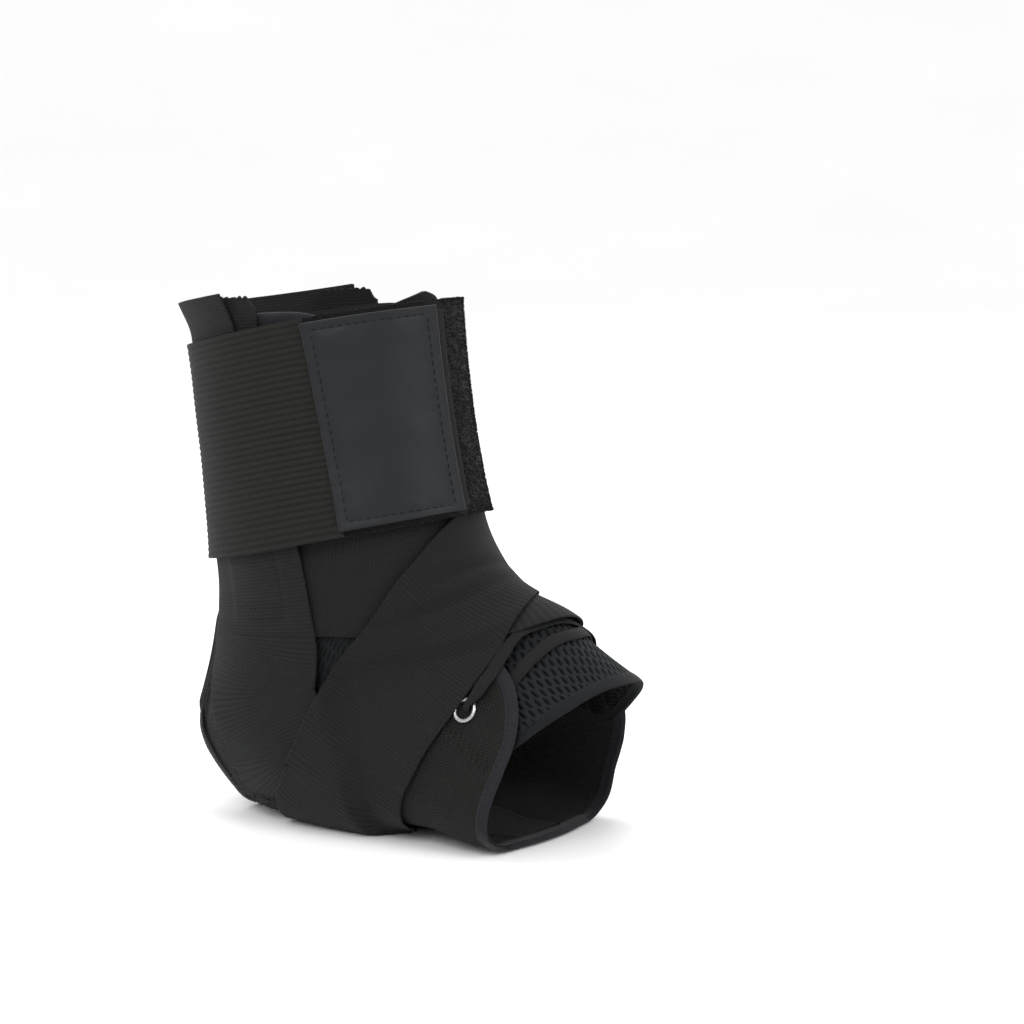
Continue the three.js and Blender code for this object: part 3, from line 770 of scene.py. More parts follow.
def ribbed_group() -> bpy.types.NodeTree:
    """Height of webbing: ribs that run across, each crossed by fine threads.

    Returns:
        The shader node group.
    """
    takes = [("Cloth", VECTOR, None), ("Rib Pitch", FLOAT, 1.25), ("Thread Pitch", FLOAT, 0.5),
             ("Lean", FLOAT, 0.0), ("Thread Share", FLOAT, 0.45)]
    group, n, source, target = new_group("ribbed threads", takes, [("Height", FLOAT)])
    split = n.add("ShaderNodeSeparateXYZ")
    n.feed(split.inputs[0], source.outputs["Cloth"])
    lean = n.math("MULTIPLY", split.outputs[1], source.outputs["Lean"])
    leaning = n.math("ADD", split.outputs[0], lean)
    rib = n.wave(leaning, source.outputs["Rib Pitch"])
    thread = n.wave(split.outputs[1], source.outputs["Thread Pitch"])
    share = source.outputs["Thread Share"]
    light = n.math("ADD", n.math("MULTIPLY", thread, share), n.math("SUBTRACT", 1.0, share))
    soft = n.math("ADD", n.math("MULTIPLY", rib, n.math("SUBTRACT", 1.0, share)), share)
    n.feed(target.inputs["Height"], n.math("MULTIPLY", soft, light))
    return group


def basket_group() -> bpy.types.NodeTree:
    """Height of basket weave: threads that pass over and under each other in both directions.

    Returns:
        The shader node group.
    """
    takes = [("Cloth", VECTOR, None), ("Pitch", FLOAT, 1.0)]
    group, n, source, target = new_group("basket weave", takes, [("Height", FLOAT)])
    split = n.add("ShaderNodeSeparateXYZ")
    n.feed(split.inputs[0], source.outputs["Cloth"])
    pitch = source.outputs["Pitch"]
    turned = [n.math("MULTIPLY", n.math("DIVIDE", s, pitch), math.pi) for s in split.outputs[:2]]
    sines = [n.math("SINE", t) for t in turned]
    across, down = (n.math("ABSOLUTE", s) for s in sines)
    over = n.math("ADD", n.math("MULTIPLY", n.math("MULTIPLY", *sines), 3.0), 0.5, clamp=True)
    under = n.math("SUBTRACT", 1.0, over)
    threads = []
    for shown, profile, other in ((over, across, down), (under, down, across)):
        dip = n.math("ADD", n.math("MULTIPLY", other, 0.3), 0.7)
        threads.append(n.math("MULTIPLY", shown, n.math("MULTIPLY", profile, dip)))
    n.feed(target.inputs["Height"], n.math("ADD", *threads))
    return group


def tone_group() -> bpy.types.NodeTree:
    """Colour of worn cloth: darker between its threads as painted shade, with soft patches and a few pale
    fibres.

    Returns:
        The shader node group.
    """
    takes = [("Color", COLOR, (0.03, 0.03, 0.03, 1)), ("Height", FLOAT, 1.0), ("Depth", FLOAT, 0.5),
             ("Patches", FLOAT, 0.2), ("Roughness", FLOAT, 0.8)]
    gives = [("Color", COLOR), ("Roughness", FLOAT)]
    group, n, source, target = new_group("cloth tone", takes, gives)
    place = n.add("ShaderNodeTexCoord")
    patches = n.add("ShaderNodeTexNoise")
    fibres = n.add("ShaderNodeTexNoise")
    for node, scale in ((patches, PATCH_SCALE), (fibres, FIBRE_SCALE)):
        n.feed(node.inputs["Vector"], place.outputs["Object"])
        n.feed(node.inputs["Scale"], scale)
        n.feed(node.inputs["Detail"], 3.0)
    patch, fibre = (n.math("SUBTRACT", node.outputs["Fac"], 0.5) for node in (patches, fibres))
    light = n.math("ADD", n.math("MULTIPLY", patch, source.outputs["Patches"]), 1.0)
    # painted shade: the colour darkens where the weave is low, between its threads, by the share Depth
    gap = n.math("MULTIPLY", n.math("SUBTRACT", 1.0, source.outputs["Height"]), source.outputs["Depth"])
    speck = n.math("ADD", n.math("MULTIPLY", fibre, FIBRE_DEPTH), 1.0)
    value = n.math("MULTIPLY", n.math("MULTIPLY", light, speck), n.math("SUBTRACT", 1.0, gap))
    grey = n.add("ShaderNodeCombineColor")
    for socket in grey.inputs[:3]:
        n.feed(socket, value)
    n.feed(target.inputs["Color"], n.mix(1.0, source.outputs["Color"], grey.outputs[0], "MULTIPLY"))
    rough = n.math("ADD", source.outputs["Roughness"], n.math("MULTIPLY", patch, PATCH_GLOSS))
    n.feed(target.inputs["Roughness"], rough)
    return group


def slots_group() -> bpy.types.NodeTree:
    """Mask of the long holes of spacer mesh, where painted shade goes, in rows that are each shifted by
    half a column.

    Returns:
        The shader node group.
    """
    takes = [("Cloth", VECTOR, None), ("Column", FLOAT, HOLE_COLUMN), ("Row", FLOAT, HOLE_ROW)]
    group, n, source, target = new_group("mesh holes", takes, [("Hole", FLOAT)])
    turned = n.add("ShaderNodeVectorRotate", rotation_type="Z_AXIS")
    n.feed(turned.inputs["Vector"], source.outputs["Cloth"])
    n.feed(turned.inputs["Angle"], math.radians(HOLE_BIAS))
    split = n.add("ShaderNodeSeparateXYZ")
    n.feed(split.inputs[0], turned.outputs[0])
    row = n.math("DIVIDE", split.outputs[0], source.outputs["Row"])
    shift = n.math("MULTIPLY", n.math("FLOORED_MODULO", n.math("FLOOR", row), 2.0), 0.5)
    column = n.math("ADD", n.math("DIVIDE", split.outputs[1], source.outputs["Column"]), shift)
    squares = []
    for place, half in ((column, HOLE_REACH[0]), (row, HOLE_REACH[1])):
        away = n.math("ABSOLUTE", n.math("SUBTRACT", n.math("FRACT", place), 0.5))
        squares.append(n.math("POWER", n.math("DIVIDE", away, half), 2.0))
    reach = n.math("ADD", *squares)
    n.feed(target.inputs["Hole"], n.math("SUBTRACT", HOLE_STEEP, reach, clamp=True))
    return group


class Pattern(Enum):
    """How a cloth is woven."""

    RIBBED = "ribbed"
    BASKET = "basket"
    PLAIN = "plain"
    MESH = "mesh"


# share of a colour seen on the lit brace that the cloth itself has
SCREEN_SHARE = 0.27
CLOTH_SPECULAR = 0.14
CLOTH_SHEEN_ROUGHNESS = 0.45
# painted shade seen in the holes of the spacer mesh
HOLE_SHADE_COLOR = "060607"


def linear(code: str) -> tuple[float, float, float, float]:
    """A colour seen on the lit brace as the linear colour that a shader takes.

    Args:
        code: the colour, such as "2c2e2d".

    Returns:
        Red, green, blue and 1.
    """
    values = [int(code[k : k + 2], 16) / 255 for k in (0, 2, 4)]
    plain = [v / 12.92 if v <= 0.04045 else ((v + 0.055) / 1.055) ** 2.4 for v in values]
    return (*[SCREEN_SHARE * v for v in plain], 1.0)


@dataclass(frozen=True)
class Finish:
    """A cloth's colour and weave. Pitches are in millimetres."""

    name: str
    slot: str
    color: str
    pattern: Pattern
    rib: float = 1.25
    thread: float = 0.5
    lean: float = 0.0
    share: float = 0.45
    # how much painted shade darkens the cloth between its threads
    depth: float = 0.5
    bump: float = 0.15
    roughness: float = 0.8
    sheen: float = 0.04
    patches: float = 0.25

    def material(self) -> bpy.types.Material:
        """The finish as a material, made once.

        Returns:
            The material.
        """
        known = bpy.data.materials.get(self.name)
        if known:
            return known
        material = bpy.data.materials.new(self.name)
        material.use_nodes = True
        n = Nodes(material.node_tree)
        shader = material.node_tree.nodes["Principled BSDF"]
        shader.inputs["Sheen Weight"].default_value = self.sheen
        shader.inputs["Sheen Roughness"].default_value = CLOTH_SHEEN_ROUGHNESS
        shader.inputs["Specular IOR Level"].default_value = CLOTH_SPECULAR
        place = n.add("ShaderNodeUVMap", uv_map="cloth").outputs["UV"]
        height, color = self.weave(n, place)
        tone = n.add("ShaderNodeGroup", node_tree=GROUPS["tone"])
        values = {"Color": color, "Height": height, "Depth": self.depth, "Patches": self.patches,
                  "Roughness": self.roughness}
        for label, value in values.items():
            n.feed(tone.inputs[label], value)
        n.feed(shader.inputs["Base Color"], tone.outputs["Color"])
        n.feed(shader.inputs["Roughness"], tone.outputs["Roughness"])
        bump = n.add("ShaderNodeBump")
        n.feed(bump.inputs["Strength"], 1.0)
        n.feed(bump.inputs["Distance"], self.bump * MM)
        n.feed(bump.inputs["Height"], height)
        n.feed(shader.inputs["Normal"], bump.outputs["Normal"])
        return material

    def weave(self, n: Nodes, place: Socket) -> tuple[Socket, object]:
        """The weave of the cloth.

        Args:
            n: helper of the material's node tree.
            place: socket with the place on the cloth, in millimetres.

        Returns:
            The height of the weave, and the colour before painted shade darkens its gaps; for mesh, the
            painted shade in its holes is already in it.
        """
        color: object = linear(self.color)
        if self.pattern is Pattern.BASKET:
            node = n.add("ShaderNodeGroup", node_tree=GROUPS["basket"])
            n.feed(node.inputs["Cloth"], place)
            n.feed(node.inputs["Pitch"], self.thread)
            return node.outputs["Height"], color
        if self.pattern is Pattern.PLAIN:
            fuzz = n.add("ShaderNodeTexNoise")
            n.feed(fuzz.inputs["Vector"], n.add("ShaderNodeTexCoord").outputs["Object"])
            n.feed(fuzz.inputs["Scale"], 1000.0 / self.thread)
            return fuzz.outputs["Fac"], color
        node = n.add("ShaderNodeGroup", node_tree=GROUPS["ribbed"])
        values = {"Cloth": place, "Rib Pitch": self.rib, "Thread Pitch": self.thread, "Lean": self.lean,
                  "Thread Share": self.share}
        for label, value in values.items():
            n.feed(node.inputs[label], value)
        if self.pattern is Pattern.MESH:
            # painted shade fills the mesh holes in the colour
            holes = n.add("ShaderNodeGroup", node_tree=GROUPS["slots"])
            n.feed(holes.inputs["Cloth"], place)
            color = n.mix(holes.outputs["Hole"], color, linear(HOLE_SHADE_COLOR))
        return node.outputs["Height"], color


GROUPS = {
    "ribbed": ribbed_group(),
    "basket": basket_group(),
    "tone": tone_group(),
    "slots": slots_group(),
}

BOOT = Finish("ballistic cloth", "boot", "33322f", Pattern.BASKET, thread=1.1, depth=0.95, bump=0.35)
TAPE = Finish("knit tape", "binding", "3c3b43", Pattern.RIBBED, rib=1.0, thread=0.8, bump=0.18, sheen=0.08)
WEBBING = Finish("ribbed webbing", "webbing", "343635", Pattern.RIBBED, rib=1.25, thread=0.62, share=0.5,
                 depth=0.9, bump=0.3)
TAB = Finish("plain webbing", "webbing", "303130", Pattern.RIBBED, rib=0.8, thread=0.5, depth=0.4, bump=0.1)
ELASTIC = Finish("ribbed elastic", "elastic", "3a3b37", Pattern.RIBBED, rib=0.9, thread=2.4, share=0.65,
                 depth=0.9, bump=0.2)
SATIN = Finish("satin label", "satin", "343639", Pattern.RIBBED, rib=0.35, thread=0.35, depth=0.15,
               bump=0.03, roughness=0.42, sheen=0.05, patches=0.15)
PILE = Finish("loop pile", "pile", "303132", Pattern.PLAIN, thread=0.35, depth=0.4, bump=0.15, sheen=0.05)
MESH = Finish("spacer mesh", "mesh", "2e3236", Pattern.MESH, rib=0.5, thread=0.5, depth=0.35, bump=0.1)
EDGING = Finish("smooth edging", "mesh", "25272b", Pattern.RIBBED, rib=0.45, thread=0.45, depth=0.3,
                bump=0.05)
LACE = Finish("flat lace", "lace", "2f3032", Pattern.RIBBED, rib=0.9, thread=0.9, lean=0.9, depth=0.5,
              bump=0.15)
# lighter than the boot cloth, as a painted highlight on the zigzag's threads
SEAM_THREAD = Finish("seam thread", "webbing", "4a4946", Pattern.PLAIN, thread=0.3, depth=0.5, bump=0.05)
THREAD = Finish("sewing thread", "webbing", "1e1f20", Pattern.PLAIN, thread=0.3, depth=0.3, bump=0.05)


NICKEL_DARK = (0.26, 0.26, 0.27, 1)
NICKEL_LIGHT = (0.42, 0.42, 0.42, 1)


def nickel() -> bpy.types.Material:
    """Bright nickel with faint smudges.

    Returns:
        The material.
    """
    known = bpy.data.materials.get("bright nickel")
    if known:
        return known
    material = bpy.data.materials.new("bright nickel")
    material.use_nodes = True
    n = Nodes(material.node_tree)
    shader = material.node_tree.nodes["Principled BSDF"]
    shader.inputs["Metallic"].default_value = 1.0
    smudge = n.add("ShaderNodeTexNoise")
    n.feed(smudge.inputs["Vector"], n.add("ShaderNodeTexCoord").outputs["Object"])
    n.feed(smudge.inputs["Scale"], 600.0)
    n.feed(shader.inputs["Base Color"], n.mix(smudge.outputs["Fac"], NICKEL_DARK, NICKEL_LIGHT))
    rough = n.math("ADD", n.math("MULTIPLY", smudge.outputs["Fac"], 0.2), 0.2)
    n.feed(shader.inputs["Roughness"], rough)
    return material


def cut(
    obj: bpy.types.Object, width: float, length: float, held: str, rests_on: Sequence[str],
    area: Optional[float] = None, with_pieces: Sequence[bpy.types.Object] = (),
) -> bpy.types.Object:
    """Takes a piece, a sheet of cloth, and the size it was cut to, and gives back the piece unchanged.

    Args:
        obj: the piece.
        width: flat width in millimetres; not used.
        length: flat length in millimetres; not used.
        held: how it is held; not used.
        rests_on: what it lies on; not used.
        area: flat area in square centimetres where the cut is no rectangle; not used.
        with_pieces: the pieces on it; not used.

    Returns:
        The same piece.
    """
    return obj


def dressed(obj: bpy.types.Object, finish: Finish, *nodes: str) -> bpy.types.Object:
    """Gives a piece its finish and its body, and hides the solids that it stands for.

    Args:
        obj: the piece.
        finish: its cloth.
        nodes: the solids that it replaces.

    Returns:
        The same piece.
    """
    obj.data.materials.clear()
    obj.data.materials.append(finish.material())
    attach(obj, "root")
    if nodes:
        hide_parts(*nodes)
    LOG.info("%s: %d faces", obj.name, len(obj.data.polygons))
    return obj


FRONT_EDGE: Rows = (
    (0.03, -46), (0.14, -43), (0.26, -38), (0.4, -30), (0.55, -24), (0.7, -21), (0.79, -22), (0.85, -28),
    (0.9, -39.5), (0.935, -54.3), (0.957, -74), (0.972, -95), (0.988, -112), (1.0, -135), (1.005, -155),
    (1.006, -180),
)
REAR_SEAM = (0, 0.1, 0.21, 0.33, 0.44, 0.53, 0.58, 0.62, 0.66, 0.7, 0.75, 0.81, 0.88, 0.95, 1.03)
RIM_EDGE: Rows = (
    (0.062, -44), (0.045, -50), (0.022, -65), (0.01, -90), (0.006, -120), (0.005, -150), (0.005, -180),
)
HEEL_TOP: Rows = ((0.54, -180), (0.545, -170), (0.565, -162.5), (0.6, -160))
HEEL_BOTTOM: Rows = ((0.64, -158.5), (0.668, -160), (0.684, -168), (0.687, -180))
HEEL_EDGE: Rows = (*HEEL_TOP, *HEEL_BOTTOM)
STRAP_START: Rows = ((0.408, 149), (0.413, 131), (0.418, 113))
UNDER_SOLE: Rows = (
    (0.778, -93.5), (0.8, -113), (0.819, -130), (0.82, -150), (0.815, -180), (0.797, -205), (0.766, -223),
    (0.702, -238), (0.642, -250), (0.526, -248), (0.398, -241), (0.23, -232), (0.04, -223), (-0.055, -219),
)
OUTER_STRAP: Rows = (
    *STRAP_START, (0.426, 82), (0.44, 52), (0.462, 30), (0.5, 13), (0.557, -2), (0.632, -15.3),
    (0.696, -33), (0.75, -67), *UNDER_SOLE,
)
INNER_STRAP: Rows = (
    *STRAP_START, (0.427, 82), (0.446, 52), (0.485, 28), (0.54, 12), (0.598, -1), (0.64, -16),
    (0.686, -34), (0.742, -67), *UNDER_SOLE,
)


def from_sole(round_: Array) -> Array:
    """Degrees round from straight down."""
    return np.abs(np.abs(round_) - 180)


def domed(across: Array, width: float) -> Array:
    """Height from 0 to 1 of a round back over a strip.

    Args:
        across: distance of each point from the nearer side of the strip.
        width: of the strip.

    Returns:
        The height at each point.
    """
    return np.sqrt(np.clip(1 - (1 - 2 * across / width) ** 2, 0, 1))


@dataclass
class Boot:
    """The cloth boot: two quarters, a back and a sole panel, and the tapes on its edges."""

    quarter_grid: tuple[int, int] = (150, 64)
    quarter_cut: tuple[float, float] = (130.0, 210.0)
    quarter_area: float = 184.0
    # how far the cloth reaches past a seam and beside the heel opening, in degrees
    lap: float = 0.5
    heel_lap: float = 5.5
    heel_reach: tuple[float, float, float, float] = (0.56, 0.585, 0.69, 0.665)
    # how far the cloth reaches under the front tape, and the last place of its front edge
    tape_lap: float = 1.2
    front_stop: tuple[float, float] = (1.02, -142.0)
    front_keep: float = 0.009
    under_rim: float = 0.026
    wave_pitch: float = 38.0
    wave_height: float = 0.18
    seam_depth: float = 0.25
    mesh_to: float = 12.0
    mesh_over: float = 50.0
    back_grid: tuple[int, int] = (110, 60)
    back_corner: float = 20.0
    back_bottom: tuple[float, float] = (0.535, 0.595)
    puff_height: float = 3.6
    puff_start: tuple[float, float] = (0.42, 0.47)
    puff_stop: float = 0.035
    puff_turn: tuple[float, float] = (28.0, 18.0)
    puff_seam: float = 26.0
    sole_grid: tuple[int, int] = (90, 50)
    sole_cut: tuple[float, float] = (52.0, 112.0)
    sole_back: float = 0.02
    sole_front: float = 0.985
    rim_height: float = 7.0
    rim_thickness: float = 3.4
    rim_base: float = 1.4
    tape_dome: float = 0.45
    tape_rib: float = 2.0
    tape_sewing: float = 1.3
    heel_flare: float = 1.7
    zigzag_line: Rows = ((0.836, -57), (0.882, -63), (0.928, -70))
    zigzag_pitch: float = 2.4
    zigzag_swing: float = 1.5
    zigzag_apart: float = 0.7
    zigzag_thread: tuple[float, float, float] = (1.15, 1.35, 0.45)

    def rim_along(self, round_: Array) -> Array:
        """Where the cloth begins below the padded rim.

        Args:
            round_: degrees round the form.

        Returns:
            Places along it.
        """
        rows = np.array(RIM_EDGE)[::-1]
        from_front = np.abs((round_ + 180) % 360 - 180)
        return np.interp(-from_front, rows[:, 1], rows[:, 0]) + self.under_rim

    def quarter(self, side: int) -> bpy.types.Object:
        """One side of the boot, from its front edge to the seam beside the heel.

        Args:
            side: -1 outer, 1 inner.

        Returns:
            The dressed piece.
        """
        rows, columns = self.quarter_grid
        shares = np.linspace(0, 1, rows)
        front = Route([*FRONT_EDGE[: len(REAR_SEAM) - 1], self.front_stop])
        f_along, f_round = front.at(shares)
        r_along = Route([(a, -SEAM_ROUND) for a in REAR_SEAM]).at(shares)[0]
        out = FORM.directions(f_along, f_round)[2]
        left = np.cross(out, np.gradient(FORM.point(f_along, f_round, 0.0), axis=0))
        inset = TAPE_WIDTH - self.tape_lap
        inwards = np.full(rows, -inset if left[rows // 2, 0] > 0 else inset)
        f_along, f_round = FORM.walk(f_along, f_round, left, inwards)
        v = np.linspace(0, 1, columns)[None, :]
        along = f_along[:, None] * (1 - v) + r_along[:, None] * v
        heel = fade(*self.heel_reach[:2], r_along) * fade(*self.heel_reach[2:], r_along)
        rear = -SEAM_ROUND - self.lap - self.heel_lap * heel
        round_ = f_round[:, None] * (1 - v) + rear[:, None] * v
        top = self.rim_along(round_[:1])
        along = along + (top - along[:1]) * fade(0.3, 0, shares)[:, None]
        along = self.kept_behind_edge(along, round_, shares, v[0])
        grid = measured(along, -side * round_)
        if side < 0:
            grid = Grid(grid.along[:, ::-1], grid.round_[:, ::-1], grid.u, grid.v)
        seam = fade(SEAM_ROUND - 2, SEAM_ROUND + 2, np.abs(grid.round_))
        waves = ripple(grid.points(0.0), self.wave_pitch, 0.6 * side) * self.wave_height
        name = "quarter_outer" if side < 0 else "quarter_inner"
        obj = cloth(name + "_cloth", grid, WALL + waves - self.seam_depth * seam, WALL)
        dressed(obj, BOOT, name)
        obj.data.materials.append(MESH.material())
        for polygon in obj.data.polygons:
            middle = polygon.center / MM
            polygon.material_index = int(middle.x < self.mesh_to and middle.z > self.mesh_over)
        return cut(obj, *self.quarter_cut, "stretched", ["tongue", "sole_panel"], area=self.quarter_area)

    def kept_behind_edge(self, along: Array, round_: Array, shares: Array, v: Array) -> Array:
        """Draws the bottom rows of a quarter back under the front tape.

        Args:
            along: places along the form.
            round_: degrees round it.
            shares: share of each row from the top to the bottom.
            v: share of each column from the front edge to the rear seam.

        Returns:
            The new places along the form.
        """
        table = np.array(FRONT_EDGE)[::-1]
        limit = np.interp(round_, table[:, 1], table[:, 0]) - self.front_keep
        excess = np.maximum(along[-1] - limit[-1], 0) * fade(0, 0.2, v)
        along = along - excess * fade(0.8, 1, shares)[:, None]
        return np.where(round_ < -100, np.minimum(along, limit), along)

    def back_panel(self) -> bpy.types.Object:
        """The padded back, which swells above the heel opening.

        Returns:
            The dressed piece.
        """
        rows, columns = self.back_grid
        half = 180 - SEAM_ROUND + self.lap
        turn = np.linspace(-half, half, columns)
        bottom = np.where(np.abs(turn) < self.back_corner, *self.back_bottom)
        shares = np.linspace(0, 1, rows)[:, None]
        along = self.rim_along(turn - 180) * (1 - shares) + bottom * shares
        grid = measured(along, np.broadcast_to(180 + turn, along.shape))
        swell = fade(*self.puff_start, along) * fade(0, self.puff_stop, bottom - along)
        swell = self.puff_height * swell * fade(*self.puff_turn, np.abs(turn))
        seams = 0.5 * bell(np.abs(turn) - self.puff_seam, 1.6) * fade(0.4, 0.45, along)
        obj = dressed(cloth("back_panel_cloth", grid, WALL + swell - seams, WALL), BOOT, "achilles_panel")
        return obj

    def sole(self) -> bpy.types.Object:
        """The panel of the sole.

        Returns:
            The dressed piece.
        """
        rows, columns = self.sole_grid
        half = 180 - SEAM_ROUND + self.lap
        turn = np.linspace(-half, half, columns)
        edge = np.array(HEEL_BOTTOM)[::-1]
        start = np.interp(np.abs(turn), 180 + edge[:, 1], edge[:, 0]) + self.sole_back
        shares = np.linspace(0, 1, rows)[:, None]
        along = start * (1 - shares) + self.sole_front * shares
        grid = measured(along, np.broadcast_to(180 + turn, along.shape))
        obj = dressed(cloth("sole_panel_cloth", grid, WALL, WALL), BOOT, "sole_panel")
        return cut(obj, *self.sole_cut, "stretched", ["diagonal_strap", "upright_strap"])

    def tape(self, name: str, node: str, route: Route, low: float, high: float) -> bpy.types.Object:
        """A knit tape that wraps an edge of the boot, and its stitches.

        Args:
            name: the piece's name.
            node: the solid that it replaces.
            route: the boot's edge.
            low: its first edge to the left of the route.
            high: its other edge.

        Returns:
            The row of stitches.
        """
        grid = band_grid(route, 1.0, spaced(low, high, 0.8, 0.5))
        dome = self.tape_dome * domed(edge_distance(grid.v), abs(high - low))
        ribs = 0.06 * np.sin(grid.u * 2 * math.pi / self.tape_rib)
        puckers = 0.12 * ripple(grid.points(0.0), 9, 1.3)
        flare = self.heel_flare * bell(grid.along - 0.57, 0.06) if route.closed else 0.0
        outside = WALL - 0.15 + dome + ribs + puckers + flare
        dressed(cloth(name, grid, outside, WALL + 0.3), TAPE, node)
        inner = high - self.tape_sewing if route.closed else low + self.tape_sewing
        distance = np.arange(0, route.length, 0.5)
        points, outs = lay(grid, outside, distance, np.full_like(distance, inner))
        return dressed(stitches(name + "_stitches", points, outs, 2.2, 1.5, 0.3), THREAD)

    def rim(self) -> bpy.types.Object:
        """The padded roll along the top edge.

        Returns:
            The dressed piece.
        """
        route = Route(whole_loop(RIM_EDGE, -360))
        grid = band_grid(route, 1.2, spaced(0, self.rim_height, 0.8, 0.8))
        dome = (self.rim_thickness - self.rim_base) * domed(edge_distance(grid.v), self.rim_height)
        puckers = 0.15 * ripple(grid.points(0.0), 10, 2.2)
        obj = dressed(cloth("rim_roll", grid, self.rim_base + dome + puckers, 1.6), TAPE, "rim_binding")
        return obj

    def zigzag(self) -> bpy.types.Object:
        """The zigzag seam in front of the diagonal strap, with a double row of thread.

        Returns:
            The dressed piece.
        """
        route = Route(self.zigzag_line)
        distance = np.arange(0, route.length, 0.25)
        along, round_, left, _ = route.frames(distance)
        rows = []
        for shift in (-self.zigzag_apart, self.zigzag_apart):
            turned = 2 * np.abs(((distance / self.zigzag_pitch) % 1) * 2 - 1) - 1
            a, r = FORM.walk(along, round_, left, shift + self.zigzag_swing * turned)
            points, outs = FORM.point(a, r, WALL + 0.28), FORM.directions(a, r)[2]
            rows.append(stitches("row", points, outs, *self.zigzag_thread))
        return dressed(joined("zigzag_seam", rows), SEAM_THREAD)

    def build(self) -> None:
        """Builds the whole boot."""
        self.quarter(-1)
        self.quarter(1)
        self.back_panel()
        self.sole()
        self.tape("front_tape", "front_binding", Route(whole_loop(FRONT_EDGE, -360)), -TAPE_WIDTH, 0)
        heel = Route(whole_loop(HEEL_EDGE, -360)[:-1], closed=True)
        self.tape("heel_tape", "heel_binding", heel, 0, TAPE_WIDTH)
        self.rim()
        self.zigzag()


@dataclass
class Tongue:
    """The padded mesh tongue and its smooth front band."""

    thickness: float = 2.0
    gap: float = 0.8
    border: float = 4.5
    border_lap: float = 0.6
    front_lap: float = 0.018
    hole_depth: float = 0.8
    half_top: float = 41.0
    half_front: float = 57.0
    # rows above and below the place where the mesh begins to show, and columns
    plain_rows: int = 31
    mesh_rows: int = 112
    mesh_from: float = 0.74
    columns: int = 300
    front: Rows = ((0.979, 0), (0.969, -17.5), (0.959, -32.5), (0.947, -45.4), (0.934, -62))
    top: Rows = ((0.012, 0), (0.024, -14), (0.036, -26), (0.038, -41))

    def edge(self, rows: Rows, round_: Array) -> Array:
        """An edge's place along the form at degrees round it."""
        table = np.array(rows)
        return np.interp(np.abs(round_), -table[:, 1], table[:, 0])

    def holes(self, u: Array, v: Array) -> Array:
        """How deep each point lies in a hole of the mesh, by the same rule as the mesh holes group.

        Args:
            u: distance along the cloth.
            v: distance across it.

        Returns:
            Depths from 0 to 1.
        """
        turn = math.radians(HOLE_BIAS)
        row = (u * math.cos(turn) - v * math.sin(turn)) / HOLE_ROW
        column = (u * math.sin(turn) + v * math.cos(turn)) / HOLE_COLUMN + np.mod(np.floor(row), 2) * 0.5
        across, down = (np.abs(place - np.floor(place) - 0.5) for place in (column, row))
        return np.clip(HOLE_STEEP - (across / HOLE_REACH[0]) ** 2 - (down / HOLE_REACH[1]) ** 2, 0, 1)

    def build(self) -> None:
        """Builds the tongue and its band."""
        plain = np.linspace(0, self.mesh_from, self.plain_rows)[:-1]
        fine = np.concatenate([plain, np.linspace(self.mesh_from, 1, self.mesh_rows)])[:, None]
        v = np.linspace(-1, 1, self.columns)[None, :]
        round_ = v * (self.half_top + (self.half_front - self.half_top) * fine**2)
        start, stop = self.edge(self.top, round_), self.edge(self.front, round_) - self.front_lap
        grid = measured(start * (1 - fine) + stop * fine, round_)
        soft = 0.5 * np.sqrt(np.clip(1 - np.abs(v) ** 8, 0, 1)) - 0.5
        shown = fade(self.mesh_from - 0.02, self.mesh_from + 0.02, fine) * fade(1, 0.98, fine)
        dents = self.hole_depth * self.holes(grid.u, grid.v) * shown
        waves = 0.35 * ripple(grid.points(0.0), 34, 0.9) * fade(0.5, 0.7, fine)
        obj = cloth("tongue_mesh", grid, -self.gap + soft - dents + waves, self.thickness - 0.3)
        dressed(obj, MESH, "tongue")
        route = Route([*mirrored(self.front)[::-1], *self.front[1:]])
        sides = spaced(-self.border - self.border_lap, 0, 0.8, 0.6)
        band = band_grid(route, 1.2, sides, ends=0.6)
        dome = 0.5 * domed(edge_distance(band.v), self.border)
        rim = cloth("tongue_edging", band, -self.gap - 0.35 + dome, self.thickness)
        dressed(rim, EDGING, "tongue_border")


